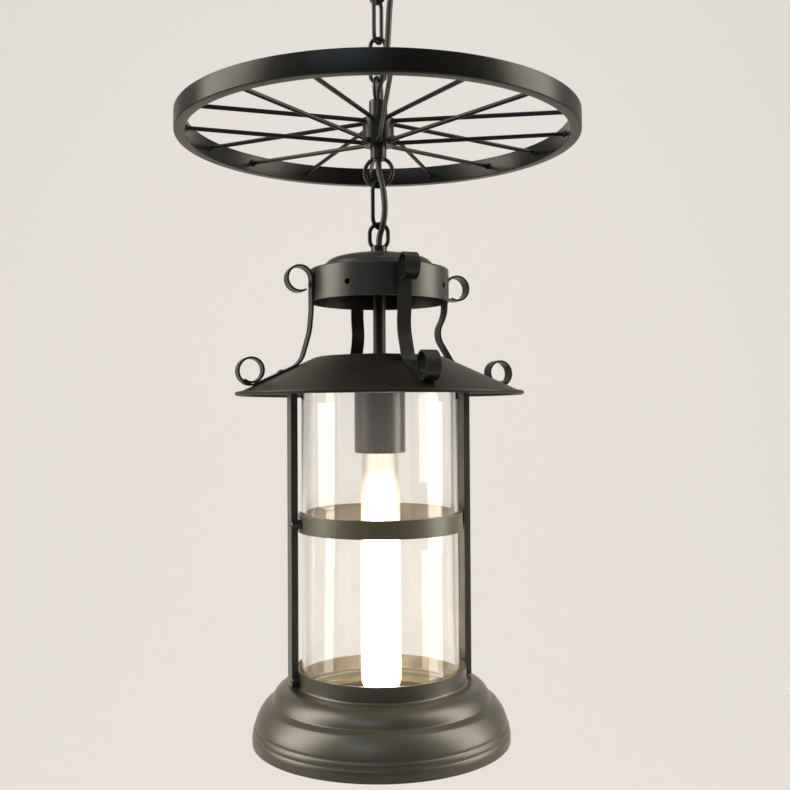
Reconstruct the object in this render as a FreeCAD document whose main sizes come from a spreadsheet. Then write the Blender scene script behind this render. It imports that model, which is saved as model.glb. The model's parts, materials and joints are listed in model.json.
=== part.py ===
import FreeCAD, Part

import math
import os

import Sketcher

# Wagon wheel chandelier: a lantern with a long glass hangs on a chain below an iron wagon wheel.
# Millimetres. The origin is where the ceiling bar meets the ceiling, +Z is up, and all else
# hangs below it. Azimuths are measured from the front (-Y) towards the right (+X).

Vector = FreeCAD.Vector
UP = Vector(0, 0, 1)
document = FreeCAD.newDocument("WagonWheelChandelier")
sheet = document.addObject("Spreadsheet::Sheet", "Sizes")

DRIVING_SIZES = {
    # ceiling fitting
    "bar_length": 90.0,
    "bar_width": 20.0,
    "bar_gauge": 2.0,
    "bar_slot_spacing": 70.0,
    "bar_slot_length": 12.0,
    "bar_slot_width": 5.0,
    "canopy_radius": 60.0,
    "canopy_depth": 28.0,
    "canopy_corner": 8.0,
    "canopy_wall": 1.2,
    "flange_radius": 9.5,
    "flange_gauge": 2.0,
    "ceiling_collar_depth": 7.2,
    "grip_offset": 17.5,
    "grip_setback": -2.0,
    "grip_head_radius": 7.0,
    "grip_head_depth": 6.0,
    "grip_tail_depth": 3.0,
    "grip_thread_radius": 4.8,
    "grip_thread_height": 5.5,
    "block_length": 17.0,
    "block_width": 16.0,
    "block_height": 15.0,
    "block_offset": 43.5,
    # threaded tubes and nuts
    "tube_radius": 5.0,
    "tube_bore": 3.2,
    "thread_clearance": 0.05,
    "nut_width": 14.0,
    "nut_height": 4.0,
    # chain
    "chain_wire": 3.2,
    "link_inner_length": 31.5,
    "link_width": 15.0,
    "hang_clearance": 0.05,
    "drop_link_inner_length": 32.9,
    "drop_link_width": 19.0,
    # the eyes that the links hang in
    "upper_eye_radius": 10.15,
    "lower_eye_radius": 11.2,
    "lantern_eye_radius": 7.35,
    "lantern_eye_straight": 5.1,
    "eye_root": 0.6,
    # wheel
    "rim_radius": 157.7,
    "rim_width": 8.6,
    "rim_height": 15.6,
    "rim_corner": 0.9,
    "rim_rise": 1.3,
    "spoke_count": 16,
    "spoke_radius": 1.7,
    "spoke_depth": 3.0,
    "spoke_edge": 2.6,
    "hub_radius": 12.3,
    "hub_height": 22.0,
    "hub_corner": 1.4,
    "upper_neck_radius": 7.2,
    "upper_neck_height": 14.1,
    "lower_neck_radius": 6.3,
    "lower_neck_height": 10.9,
    "neck_socket_depth": 6.5,
    # cable
    "cable_radius": 2.4,
    # lantern head
    "lantern_neck_radius": 6.3,
    "lantern_neck_height": 6.4,
    "stem_radius": 4.9,
    "cap_radius": 54.6,
    "cap_crown": 14.3,
    "cap_side_height": 24.0,
    "cap_corner": 1.6,
    "cap_crest_radius": 8.4,
    "cap_dome_radius": 36.0,
    "cap_dome_drop": 4.0,
    "cap_flange_start": 46.5,
    "sheet_wall": 1.2,
    "punched_hole_radius": 2.2,
    "cap_hole_drop": 13.2,
    "cap_to_roof": 42.5,
    # scrolled straps
    "strap_width": 10.6,
    "strap_gauge": 1.5,
    "strap_seat": 0.05,
    "scroll_radius": 10.9,
    "strap_waist_drop": 24.0,
    "rivet_radius": 1.5,
    "rivet_head_radius": 2.9,
    "rivet_head_height": 1.3,
    "rivet_below_scroll": 1.3,
    "rivet_beyond_bar": 7.4,
    # roof
    "roof_flat_radius": 49.5,
    "roof_radius": 112.2,
    "roof_drop": 28.0,
    "roof_crown": 2.5,
    "roof_shoulder": 16.0,
    "roof_seat_radius": 10.0,
    "roof_bead": 1.6,
    # lamp holder and bulb
    "socket_cup_radius": 20.0,
    "socket_cup_bottom_drop": 76.5,
    "holder_radius": 16.5,
    "holder_height": 45.0,
    "holder_bore": 14.6,
    "shell_radius": 14.4,
    "shell_wall": 0.5,
    "shell_height": 28.0,
    "bulb_cap_radius": 13.1,
    "bulb_cap_height": 25.0,
    "bulb_neck_radius": 12.4,
    "bulb_radius": 15.4,
    "bulb_length": 232.0,
    "bulb_wall": 0.8,
    # glass, bars and band
    "glass_radius": 61.5,
    "glass_wall": 3.0,
    "glass_height": 235.5,
    "glass_top_drop": 14.5,
    "soft_clearance": 0.3,
    "gasket_gauge": 1.6,
    "retainer_gap": 0.7,
    "retainer_skirt": 12.0,
    "side_bar_gap": 0.4,
    "side_bar_gauge": 5.2,
    "side_bar_width": 12.0,
    "side_bar_tab": 16.0,
    "band_drop": 121.4,
    "band_height": 13.7,
    "band_wall": 1.6,
    "screw_radius": 2.0,
    "screw_head_radius": 3.0,
    "screw_head_height": 1.0,
    # base
    "collar_gap": 4.5,
    "collar_height": 12.6,
    "collar_overlap": 10.3,
    "shoulder_radius": 87.0,
    "shoulder_drop": 11.7,
    "bell_radius": 99.8,
    "bell_drop": 31.7,
    "seat_bore": 42.0,
    "seat_lip": 4.0,
    "seat_edge": 3.4,
}

SPOKE_AZIMUTH = 3.5  # of the first spoke
STRAP_AZIMUTH = 19.5  # of the front strap; the others follow at quarter turns
STRAP_SHAPES = {  # waist's inward bow, upper scroll's drop and radius, foot's and lower scroll's reach
    "front": (2.0, 3.7, 9.9, 63.0, 100.5),
    "right": (8.0, 10.6, 10.4, 62.0, 102.5),
    "back": (3.0, 6.0, 10.0, 63.0, 102.0),
    "left": (-1.5, 7.6, 10.4, 64.0, 102.2),
}
CEILING_EYE_ANGLE = 62.0  # directions in which the rings and links lie, from +X towards +Y
LINK_ANGLES = (-28.0, 60.0, -8.0)
UPPER_EYE_ANGLE = 74.0
LOWER_EYE_ANGLE = -12.0
DROP_LINK_ANGLE = 54.0
LANTERN_EYE_ANGLE = -12.0


# ---------------------------------------------------------------- sizes that stay bound


class Size:
    """A length together with the sheet expression that gives it."""

    def __init__(self, value, text):
        self.value = value
        self.text = text

    def joined(self, other, sign, value):
        return Size(value, f"({self.text} {sign} {other.text})")

    def __add__(self, other):
        other = as_size(other)
        return self.joined(other, "+", self.value + other.value)

    def __sub__(self, other):
        other = as_size(other)
        return self.joined(other, "-", self.value - other.value)

    def __mul__(self, other):
        other = as_size(other)
        return self.joined(other, "*", self.value * other.value)

    def __truediv__(self, other):
        other = as_size(other)
        return self.joined(other, "/", self.value / other.value)

    def __radd__(self, other):
        return as_size(other) + self

    def __rsub__(self, other):
        return as_size(other) - self

    def __rmul__(self, other):
        return as_size(other) * self

    def __neg__(self):
        return as_size(0) - self

    def __float__(self):
        return float(self.value)

    def root(self):
        return Size(math.sqrt(self.value), f"sqrt({self.text})")


def as_size(value):
    return value if isinstance(value, Size) else Size(float(value), f"{float(value):.9f}")


class Sizes:
    """Every driving size by its name, as a Size bound to its cell."""


for row, (alias, number) in enumerate(DRIVING_SIZES.items(), start=1):
    sheet.set(f"A{row}", alias.replace("_", " "))
    sheet.set(f"B{row}", f"{number:g}")
    sheet.setAlias(f"B{row}", alias)
    setattr(Sizes, alias, Size(float(number), f"Sizes.{alias}"))
document.recompute()
s = Sizes

# ---------------------------------------------------------------- levels, from the ceiling down

CANOPY_FACE = -s.canopy_depth
CEILING_COLLAR_END = CANOPY_FACE - s.ceiling_collar_depth
WIRE_RADIUS = s.chain_wire / 2
CEILING_EYE_LANDING = s.upper_neck_radius - WIRE_RADIUS
LOWER_EYE_LANDING = s.lower_neck_radius - WIRE_RADIUS
LANTERN_EYE_LANDING = s.lantern_neck_radius - WIRE_RADIUS


def eye_reach(radius, landing, straight=0.0):
    """How far an eye's inner face lies from the neck that the eye stands on."""
    rise = (radius * radius - landing * landing).root()
    return rise + straight + radius - WIRE_RADIUS - s.eye_root


CEILING_HANG = CEILING_COLLAR_END - eye_reach(s.upper_eye_radius, CEILING_EYE_LANDING)
LINK_PITCH = s.link_inner_length - s.hang_clearance
LINK_TOPS = [CEILING_HANG + s.hang_clearance - LINK_PITCH * i for i in range(4)]
UPPER_NECK_TOP = LINK_TOPS[3] - eye_reach(s.upper_eye_radius, CEILING_EYE_LANDING)
HUB_TOP = UPPER_NECK_TOP - s.upper_neck_height
HUB_BOTTOM = HUB_TOP - s.hub_height
HUB_MIDDLE = HUB_TOP - s.hub_height / 2
LOWER_NECK_END = HUB_BOTTOM - s.lower_neck_height
DROP_HANG = LOWER_NECK_END - eye_reach(s.lower_eye_radius, LOWER_EYE_LANDING)
DROP_LINK_TOP = DROP_HANG + s.hang_clearance
LANTERN_HANG = DROP_LINK_TOP - s.drop_link_inner_length + s.hang_clearance
LANTERN_NECK_TOP = LANTERN_HANG - eye_reach(
    s.lantern_eye_radius, LANTERN_EYE_LANDING, s.lantern_eye_straight
)
CAP_CREST = LANTERN_NECK_TOP - s.lantern_neck_height
CAP_EDGE = CAP_CREST - s.cap_crown
CAP_BOTTOM = CAP_EDGE - s.cap_side_height
ROOF_TOP = CAP_BOTTOM - s.cap_to_roof
ROOF_CENTRE = ROOF_TOP + s.roof_crown
ROOF_EDGE = ROOF_TOP - s.roof_drop
ROOF_UNDERSIDE = ROOF_CENTRE - s.sheet_wall
SOCKET_CUP_TOP = ROOF_UNDERSIDE - s.nut_height
SOCKET_CUP_BOTTOM = ROOF_TOP - s.socket_cup_bottom_drop
HOLDER_TOP = SOCKET_CUP_TOP - s.sheet_wall - s.nut_height
HOLDER_BOTTOM = HOLDER_TOP - s.holder_height
SHELL_BOTTOM = HOLDER_BOTTOM + 1.0
SHELL_TOP = SHELL_BOTTOM + s.shell_height
GLASS_TOP = ROOF_TOP - s.glass_top_drop
GLASS_BOTTOM = GLASS_TOP - s.glass_height
BAND_TOP = ROOF_TOP - s.band_drop
SEAT_TOP = GLASS_BOTTOM - s.soft_clearance - s.gasket_gauge
COLLAR_TOP = GLASS_BOTTOM + s.collar_overlap
COLLAR_FOOT = COLLAR_TOP - s.collar_height
SHOULDER_LEVEL = COLLAR_FOOT - s.shoulder_drop
BASE_BOTTOM = COLLAR_FOOT - s.shoulder_drop - s.bell_drop
ROOF_SLOPE = s.roof_drop / (s.roof_radius - s.roof_bead - s.roof_flat_radius)
COLLAR_RADIUS = s.glass_radius + s.collar_gap
SIDE_BAR_RADIUS = COLLAR_RADIUS + s.side_bar_gap
ROOF_RIVET_REACH = SIDE_BAR_RADIUS + s.side_bar_gauge + s.rivet_beyond_bar


# ---------------------------------------------------------------- makers


def bound(target, **sizes):
    """Gives the named properties of an object their sheet expressions."""
    for name, size in sizes.items():
        target.setExpression(name.replace("__", "."), as_size(size).text)
    return target


def at_height(target, level, x=0.0, y=0.0, rotation=None):
    target.Placement = FreeCAD.Placement(
        Vector(float(x), float(y), float(level)), rotation or FreeCAD.Rotation()
    )
    return bound(target, Placement__Base__x=x, Placement__Base__y=y, Placement__Base__z=level)


def solid(kind, label, **sizes):
    made = document.addObject(f"Part::{kind}", label)
    made.Label = label
    return bound(made, **sizes)


def cylinder(label, radius, height, level, x=0.0, y=0.0):
    return at_height(solid("Cylinder", label, Radius=radius, Height=height), level, x, y)


def box(label, length, width, height, level, x=0.0, y=0.0):
    """A box whose bottom face is centred on x, y."""
    made = solid("Box", label, Length=length, Width=width, Height=height)
    return at_height(made, level, x - length / 2, y - width / 2)


def cut(label, base, *tools):
    made = document.addObject("Part::Cut", label)
    made.Label = label
    made.Base = base
    made.Tool = tools[0] if len(tools) == 1 else fuse(label + "_tools", *tools)
    return made


def fuse(label, *pieces):
    made = document.addObject("Part::MultiFuse", label)
    made.Label = label
    made.Shapes = list(pieces)
    return made


def hexagon_nut(label, level, height, bore, x=0.0, y=0.0):
    prism = solid("Prism", label + "_blank", Circumradius=s.nut_width / math.sqrt(3), Height=height)
    prism.Polygon = 6
    at_height(prism, level, x, y)
    return cut(label, prism, cylinder(label + "_bore", bore, height + 2, level - 1, x, y))


def arc_centre(start, end, radius, turn):
    """Centre of the arc from start to end; turn is 1 where it lies left of the way, else -1."""
    chord = end - start
    left = Vector(-chord.y, chord.x, 0).normalize()
    return (start + end) / 2 + left * turn * math.sqrt(max(radius**2 - chord.Length**2 / 4, 0))


def outline_sketch(body, outline):
    """A closed profile in the XZ plane. Each corner is (x, z) or (x, z, radius, turn), where the
    last two say that an arc of that radius leads to the corner."""
    sketch = body.newObject("Sketcher::SketchObject", body.Label + "_profile")
    plane = next(o for o in body.Origin.OriginFeatures if o.Role == "XZ_Plane")
    sketch.AttachmentSupport = [(plane, "")]
    sketch.MapMode = "FlatFace"
    corners = [Vector(float(c[0]), float(c[1]), 0) for c in outline]
    edges = []
    for i, corner in enumerate(outline):
        start, end = corners[i - 1], corners[i]
        if len(corner) == 2:
            edges.append((sketch.addGeometry(Part.LineSegment(start, end), False), 1, 2))
            continue
        radius, turn = float(corner[2]), corner[3]
        centre = arc_centre(start, end, radius, turn)
        first, last = (start, end) if turn > 0 else (end, start)
        angles = [math.atan2(p.y - centre.y, p.x - centre.x) for p in (first, last)]
        circle = Part.Circle(centre, UP, (start - centre).Length)
        arc = Part.ArcOfCircle(circle, angles[0], angles[1] + (math.tau if angles[1] < angles[0] else 0))
        edges.append((sketch.addGeometry(arc, False), *((1, 2) if turn > 0 else (2, 1))))
    for i, corner in enumerate(outline):
        edge, following = edges[i], edges[(i + 1) % len(edges)]
        sketch.addConstraint(Sketcher.Constraint("Coincident", edge[0], edge[2], following[0], following[1]))
        for way, size in (("DistanceX", corner[0]), ("DistanceY", corner[1])):
            held = Sketcher.Constraint(way, -1, 1, edge[0], edge[2], float(size))
            number = sketch.addConstraint(held)
            sketch.setExpression(f"Constraints[{number}]", as_size(size).text)
        if len(corner) == 4:
            number = sketch.addConstraint(Sketcher.Constraint("Radius", edge[0], float(corner[2])))
            sketch.setExpression(f"Constraints[{number}]", as_size(corner[2]).text)
    return sketch


def spun(label, outline):
    """A piece turned about the Z axis from its half profile."""
    body = document.addObject("PartDesign::Body", label)
    body.Label = label
    sketch = outline_sketch(body, outline)
    turned = body.newObject("PartDesign::Revolution", label + "_turned")
    turned.Profile = sketch
    turned.ReferenceAxis = (sketch, ["V_Axis"])
    turned.Angle = 360
    return body


def corner_tangents(outline):
    """Directions of the edge that arrives at each corner and of the one that leaves it."""
    points = [Vector(float(c[0]), float(c[1]), 0) for c in outline]
    arriving, leaving = [None], []
    for i in range(1, len(points)):
        chord = (points[i] - points[i - 1]).normalize()
        half = 0.0
        if len(outline[i]) == 4:
            length = (points[i] - points[i - 1]).Length
            half = outline[i][3] * math.asin(min(length / 2 / float(outline[i][2]), 1.0))
        leaving.append(turned(chord, -half))
        arriving.append(turned(chord, half))
    return arriving, leaving + [None]


def turned(direction, angle):
    c, n = math.cos(angle), math.sin(angle)
    return Vector(direction.x * c - direction.y * n, direction.x * n + direction.y * c, 0)


def spun_sheet(label, outer, wall, side):
    """A spun sheet-metal piece: the outer line, and the same line one wall further in. side is 1
    where the inside lies left of the way along the line, else -1."""
    arriving, leaving = corner_tangents(outer)
    inner = []
    for i, corner in enumerate(outer):
        before, after = arriving[i] or leaving[i], leaving[i] or arriving[i]
        normal = Vector(-before.y - after.y, before.x + after.x, 0).normalize() * side
        reach = 1 / max(normal.dot(Vector(-before.y, before.x, 0) * side), 0.3)
        inner.append((corner[0] + wall * (normal.x * reach), corner[1] + wall * (normal.y * reach)))
    back = [inner[-1]]
    for i in range(len(outer) - 1, 0, -1):
        place = inner[i - 1]
        if len(outer[i]) == 4:
            radius, turn = outer[i][2], outer[i][3]
            place = (*place, radius - wall * (side * turn), -turn)
        back.append(place)
    return spun(label, list(outer) + back)


def level_direction(degrees):
    return Vector(math.cos(math.radians(degrees)), math.sin(math.radians(degrees)), 0)


def radial_direction(azimuth):
    return Vector(math.sin(math.radians(azimuth)), -math.cos(math.radians(azimuth)), 0)


def upright(degrees, start=0.0):
    """Turns local X to a level direction and local Y to straight up, after a turn in that plane."""
    across = level_direction(degrees)
    stand = FreeCAD.Rotation(across, UP, across.cross(UP), "XYZ")
    return stand.multiply(FreeCAD.Rotation(UP, start))


def ring_arc(label, radius, start, sweep, level, degrees):
    made = solid("Torus", label, Radius1=radius, Radius2=WIRE_RADIUS)
    made.Angle3 = sweep
    return at_height(made, level, rotation=upright(degrees, start))


def side_wires(label, reach, length, level, degrees):
    """Two upright wires, one on each side of the axis in a level direction."""
    wires = []
    for i, sign in enumerate((1, -1)):
        way = level_direction(degrees) * sign
        wires.append(
            cylinder(f"{label}_{i}", WIRE_RADIUS, length, level, reach * way.x, reach * way.y)
        )
    return wires


def chain_link(label, top, inner_length, width, degrees):
    """A welded oval link whose inner top is at the level top."""
    radius = width / 2 - WIRE_RADIUS
    upper = top + WIRE_RADIUS - radius
    lower = top - inner_length - WIRE_RADIUS + radius
    return fuse(
        label,
        ring_arc(label + "_top", radius, 0, 180, upper, degrees),
        ring_arc(label + "_bottom", radius, 180, 180, lower, degrees),
        *side_wires(label + "_side", radius, upper - lower, lower, degrees),
    )


def eye_ring(label, neck_end, direction, radius, landing, degrees, straight=0.0):
    """The open ring of an eye: its two feet stand on the end of a neck. direction is 1 where the
    ring stands above the neck and -1 where it hangs below."""
    rise = (radius * radius - landing * landing).root()
    foot = neck_end - s.eye_root * direction
    lower = foot + rise * direction
    opening = math.degrees(math.asin(float(landing) / float(radius)))
    start = 270 + opening if direction > 0 else 90 + opening
    if float(straight) == 0:
        return [ring_arc(label + "_ring", radius, start, 360 - 2 * opening, lower, degrees)]
    upper = lower + straight * direction
    return [
        ring_arc(label + "_bow", radius, 0, 180, upper, degrees),
        ring_arc(label + "_foot_a", radius, 270 + opening, 90 - opening, lower, degrees),
        ring_arc(label + "_foot_b", radius, 180, 90 - opening, lower, degrees),
        *side_wires(label + "_side", radius, straight, lower, degrees),
    ]


def rounded_path(points, radii):
    """Lines joined by tangent arcs through points; radii has one radius for each inner point."""
    edges, start = [], points[0]
    for i in range(1, len(points) - 1):
        way_in = (points[i] - points[i - 1]).normalize()
        way_out = (points[i + 1] - points[i]).normalize()
        turn = way_in.getAngle(way_out)
        if turn < 1e-4:
            continue
        back = radii[i - 1] * math.tan(turn / 2)
        first, last = points[i] - way_in * back, points[i] + way_out * back
        bisector = (way_out - way_in).normalize()
        centre = points[i] + bisector * (radii[i - 1] / math.cos(turn / 2))
        middle = centre + (points[i] - centre).normalize() * radii[i - 1]
        if (first - start).Length > 1e-6:
            edges.append(Part.LineSegment(start, first).toShape())
        edges.append(Part.Arc(first, middle, last).toShape())
        start = last
    if (points[-1] - start).Length > 1e-6:
        edges.append(Part.LineSegment(start, points[-1]).toShape())
    return edges


def from_shape(label, shape, placement=None):
    made = document.addObject("Part::Feature", label)
    made.Label = label
    made.Shape = shape
    if placement:
        made.Placement = placement
    return made


def round_tube(edges, radius):
    start = edges[0].valueAt(edges[0].FirstParameter)
    way = edges[0].tangentAt(edges[0].FirstParameter)
    profile = Part.Wire([Part.Circle(start, way, radius).toShape()])
    return Part.Wire(edges).makePipeShell([profile], True, False)


def button(head_radius, head_height, shank_radius, length, tail_radius=0.0, tail_height=0.0):
    """A round-headed fastener along +Z: the shank reaches from z 0 down, the head stands above."""
    radius = (head_radius**2 + head_height**2) / (2 * head_height)
    ball = Part.makeSphere(radius, Vector(0, 0, head_height - radius))
    keep = Part.makeCylinder(head_radius, head_height, Vector(0, 0, 0))
    whole = ball.common(keep).fuse(Part.makeCylinder(shank_radius, length, Vector(0, 0, -length)))
    if tail_height:
        foot = Vector(0, 0, -length - tail_height)
        whole = whole.fuse(Part.makeCylinder(tail_radius, tail_height, foot))
    return whole.removeSplitter()


def facing(shape, place, way):
    """A copy of shape whose +Z points along way and whose origin lies at place."""
    copy = shape.copy()
    copy.Placement = FreeCAD.Placement(place, FreeCAD.Rotation(UP, way))
    return copy


def polar(azimuth, radius, level):
    return radial_direction(azimuth) * float(radius) + UP * float(level)


parts = {}


def keep(made):
    parts[made.Label] = made
    return made


# ---------------------------------------------------------------- ceiling fitting


def ceiling_bar():
    blank = box("bar_blank", s.bar_length, s.bar_width, s.bar_gauge, -s.bar_gauge)
    tools = [cylinder("bar_bore", s.tube_radius + s.thread_clearance, s.bar_gauge + 2, -s.bar_gauge - 1)]
    straight = s.bar_slot_length - s.bar_slot_width
    for i, sign in enumerate((1, -1)):
        centre = s.bar_slot_spacing / 2 * sign
        depth, level = s.bar_gauge + 2, -s.bar_gauge - 1
        tools.append(box(f"slot_{i}", straight, s.bar_slot_width, depth, level, centre))
        for j, end in enumerate((straight / 2, -straight / 2)):
            tools.append(cylinder(f"slot_{i}_{j}", s.bar_slot_width / 2, depth, level, centre + end))
    return cut("ceiling_bar", blank, *tools)


def canopy():
    bore = s.tube_radius + s.thread_clearance
    edge = s.canopy_radius - s.canopy_corner
    line = [
        (bore, CANOPY_FACE),
        (edge, CANOPY_FACE),
        (s.canopy_radius, CANOPY_FACE + s.canopy_corner, s.canopy_corner, 1),
        (s.canopy_radius, as_size(0)),
    ]
    bowl = spun_sheet("canopy_bowl", line, s.canopy_wall, 1)
    hole = cylinder(
        "canopy_grip_hole", s.grip_thread_radius + s.thread_clearance, s.canopy_wall + 2,
        CANOPY_FACE - 1, s.grip_offset, s.grip_setback,
    )
    return cut("canopy", bowl, hole)


def ceiling_eye():
    socket = s.ceiling_collar_depth - 2.0
    neck = spun("ceiling_neck", [
        (0, CANOPY_FACE - socket),
        (s.tube_radius + s.thread_clearance, CANOPY_FACE - socket),
        (s.tube_radius + s.thread_clearance, CANOPY_FACE),
        (s.flange_radius, CANOPY_FACE),
        (s.flange_radius, CANOPY_FACE - s.flange_gauge),
        (s.upper_neck_radius, CANOPY_FACE - s.flange_gauge),
        (s.upper_neck_radius, CEILING_COLLAR_END),
        (0, CEILING_COLLAR_END),
    ])
    ring = eye_ring(
        "ceiling_eye", CEILING_COLLAR_END, -1, s.upper_eye_radius, CEILING_EYE_LANDING, CEILING_EYE_ANGLE
    )
    return fuse("ceiling_eye", neck, *ring)


def threaded_tube(label, top, bottom, radius, bore):
    return spun(label, [(bore, bottom), (radius, bottom), (radius, top), (bore, top)])


def cable_grip():
    bore = s.cable_radius + s.thread_clearance
    thread_top = CANOPY_FACE + s.grip_thread_height
    head = CANOPY_FACE - s.grip_head_depth
    turned_grip = spun("cable_grip", [
        (bore, head - s.grip_tail_depth),
        (s.grip_head_radius - 2.5, head - s.grip_tail_depth),
        (s.grip_head_radius - 1.0, head),
        (s.grip_head_radius, head + 1.5),
        (s.grip_head_radius, CANOPY_FACE),
        (s.grip_thread_radius, CANOPY_FACE),
        (s.grip_thread_radius, thread_top),
        (bore, thread_top),
    ])
    return at_height(turned_grip, 0, s.grip_offset, s.grip_setback)


def terminal_block():
    """Stands on the canopy's floor, with three pairs of clamp screws sunk in its top."""
    floor = CANOPY_FACE + s.canopy_wall + s.thread_clearance
    blank = box(
        "block_blank", s.block_length, s.block_width, s.block_height, floor, s.block_offset
    )
    pitch, sunk = s.block_width / 3, s.block_height / 3
    level = floor + s.block_height - sunk
    tools = [
        cylinder(f"block_screw_{i}_{j}", pitch / 3, sunk + 1, level,
                 s.block_offset + s.block_length * end, pitch * side)
        for i, side in enumerate((-1, 0, 1))
        for j, end in enumerate((-0.25, 0.25))
    ]
    tools += [
        box(f"block_groove_{i}", s.block_length + 2, pitch / 8, sunk + 1, level,
            s.block_offset, pitch * side)
        for i, side in enumerate((-0.5, 0.5))
    ]
    return cut("terminal_block", blank, *tools)


keep(ceiling_bar())
keep(canopy())
keep(ceiling_eye())
keep(threaded_tube(
    "ceiling_nipple", as_size(-0.5), CANOPY_FACE - s.ceiling_collar_depth + 2.5, s.tube_radius, s.tube_bore
))
keep(hexagon_nut(
    "nipple_nut", -s.bar_gauge - s.nut_height, s.nut_height, s.tube_radius + s.thread_clearance
))
keep(cable_grip())
keep(hexagon_nut(
    "grip_nut", CANOPY_FACE + s.canopy_wall, s.nut_height, s.grip_thread_radius + s.thread_clearance,
    s.grip_offset, s.grip_setback,
))
keep(terminal_block())

# ---------------------------------------------------------------- chain and wheel

for index, angle in enumerate(LINK_ANGLES):
    keep(chain_link(f"chain_link_{index + 1}", LINK_TOPS[index], s.link_inner_length, s.link_width, angle))
keep(chain_link("drop_link", DROP_LINK_TOP, s.drop_link_inner_length, s.drop_link_width, DROP_LINK_ANGLE))


def wheel_rim():
    inner, corner = s.rim_radius - s.rim_width, s.rim_corner
    top = HUB_MIDDLE + s.rim_rise + s.rim_height / 2
    bottom = top - s.rim_height
    return spun("wheel_rim", [
        (inner + corner, bottom, corner, 1),
        (s.rim_radius - corner, bottom),
        (s.rim_radius, bottom + corner, corner, 1),
        (s.rim_radius, top - corner),
        (s.rim_radius - corner, top, corner, 1),
        (inner + corner, top),
        (inner, top - corner, corner, 1),
        (inner, bottom + corner),
    ])


def spoke_line(index):
    """Both ends of a spoke's axis. Even spokes leave the hub low, odd ones high."""
    azimuth = SPOKE_AZIMUTH + index * 360.0 / float(s.spoke_count)
    offset = float(s.hub_height / 2 - s.spoke_edge)
    level = float(HUB_MIDDLE) + (offset if index % 2 else -offset)
    start = polar(azimuth, s.hub_radius - s.spoke_depth, level)
    end = polar(azimuth, s.rim_radius - s.rim_width, HUB_MIDDLE + s.rim_rise)
    return start, end


def spoke_rod(index, radius, short=0.0):
    start, end = spoke_line(index)
    way = (end - start).normalize()
    return Part.makeCylinder(radius, (end - start).Length - short, start, way)


def hub_barrel():
    bore, corner = s.tube_radius + s.thread_clearance, s.hub_corner
    barrel = spun("hub_turned", [
        (bore, HUB_BOTTOM),
        (s.hub_radius - corner, HUB_BOTTOM),
        (s.hub_radius, HUB_BOTTOM + corner, corner, 1),
        (s.hub_radius, HUB_TOP - corner),
        (s.hub_radius - corner, HUB_TOP, corner, 1),
        (bore, HUB_TOP),
    ])
    drilled = float(s.spoke_radius + s.thread_clearance)
    holes = [spoke_rod(i, drilled) for i in range(int(s.spoke_count.value))]
    return cut("wheel_hub", barrel, from_shape("hub_drilling", Part.Compound(holes)))


def hub_eye(label, face, neck_end, direction, neck_radius, ring_radius, landing, degrees):
    """A neck on the hub with a wireway, a threaded socket at the hub side and an open ring."""
    socket_end = face + s.neck_socket_depth * direction
    socket = s.tube_radius + s.thread_clearance
    outline = [
        (s.tube_bore, neck_end),
        (s.tube_bore, socket_end),
        (socket, socket_end),
        (socket, face),
        (neck_radius, face),
        (neck_radius, neck_end - 0.8 * direction),
        (neck_radius - 0.8, neck_end),
    ]
    neck = spun(label + "_neck", outline)
    ring = eye_ring(label, neck_end, direction, ring_radius, landing, degrees)
    way = cylinder(
        label + "_wireway", s.tube_bore, s.eye_root * 4,
        neck_end - s.eye_root * 2,
    )
    return cut(label, fuse(label + "_whole", neck, *ring), way)


keep(wheel_rim())
keep(hub_barrel())
rod_end_gap = 0.2  # leaves the flat end of a rod clear of the rim's round inner face
for name, parity in (("upper_spokes", 1), ("lower_spokes", 0)):
    rods = [
        spoke_rod(i, float(s.spoke_radius), rod_end_gap)
        for i in range(int(s.spoke_count.value))
        if i % 2 == parity
    ]
    keep(from_shape(name, Part.Compound(rods)))
keep(hub_eye(
    "hub_upper_eye", HUB_TOP, UPPER_NECK_TOP, 1, s.upper_neck_radius,
    s.upper_eye_radius, CEILING_EYE_LANDING, UPPER_EYE_ANGLE,
))
keep(hub_eye(
    "hub_lower_eye", HUB_BOTTOM, LOWER_NECK_END, -1, s.lower_neck_radius,
    s.lower_eye_radius, LOWER_EYE_LANDING, LOWER_EYE_ANGLE,
))
keep(threaded_tube(
    "hub_nipple", HUB_TOP + s.neck_socket_depth - 0.5, HUB_BOTTOM - s.neck_socket_depth + 0.5,
    s.tube_radius, s.tube_bore,
))

# ---------------------------------------------------------------- lantern head


def lantern_eye():
    socket = s.stem_radius + s.thread_clearance
    socket_end = CAP_CREST + s.lantern_neck_height - 2.4
    neck = spun("lantern_neck", [
        (s.tube_bore, LANTERN_NECK_TOP),
        (s.tube_bore, socket_end),
        (socket, socket_end),
        (socket, CAP_CREST),
        (s.lantern_neck_radius, CAP_CREST),
        (s.lantern_neck_radius, LANTERN_NECK_TOP - 0.6),
        (s.lantern_neck_radius - 0.6, LANTERN_NECK_TOP),
    ])
    ring = eye_ring(
        "lantern_eye", LANTERN_NECK_TOP, 1, s.lantern_eye_radius, LANTERN_EYE_LANDING,
        LANTERN_EYE_ANGLE, s.lantern_eye_straight,
    )
    way = cylinder("lantern_wireway", s.tube_bore, s.eye_root * 4, LANTERN_NECK_TOP - s.eye_root * 2)
    return cut("lantern_eye", fuse("lantern_eye_whole", neck, *ring), way)


STRAP_SIDES = {
    "front": STRAP_AZIMUTH,
    "right": STRAP_AZIMUTH + 90,
    "back": STRAP_AZIMUTH + 180,
    "left": STRAP_AZIMUTH + 270,
}
BAR_SIDES = ("right", "left")
PUNCHED_LEVEL = CAP_EDGE - s.cap_hole_drop


def cap_rivet_level(side):
    below = s.rivet_head_radius + s.rivet_below_scroll
    return CAP_EDGE - STRAP_SHAPES[side][1] - below


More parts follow.
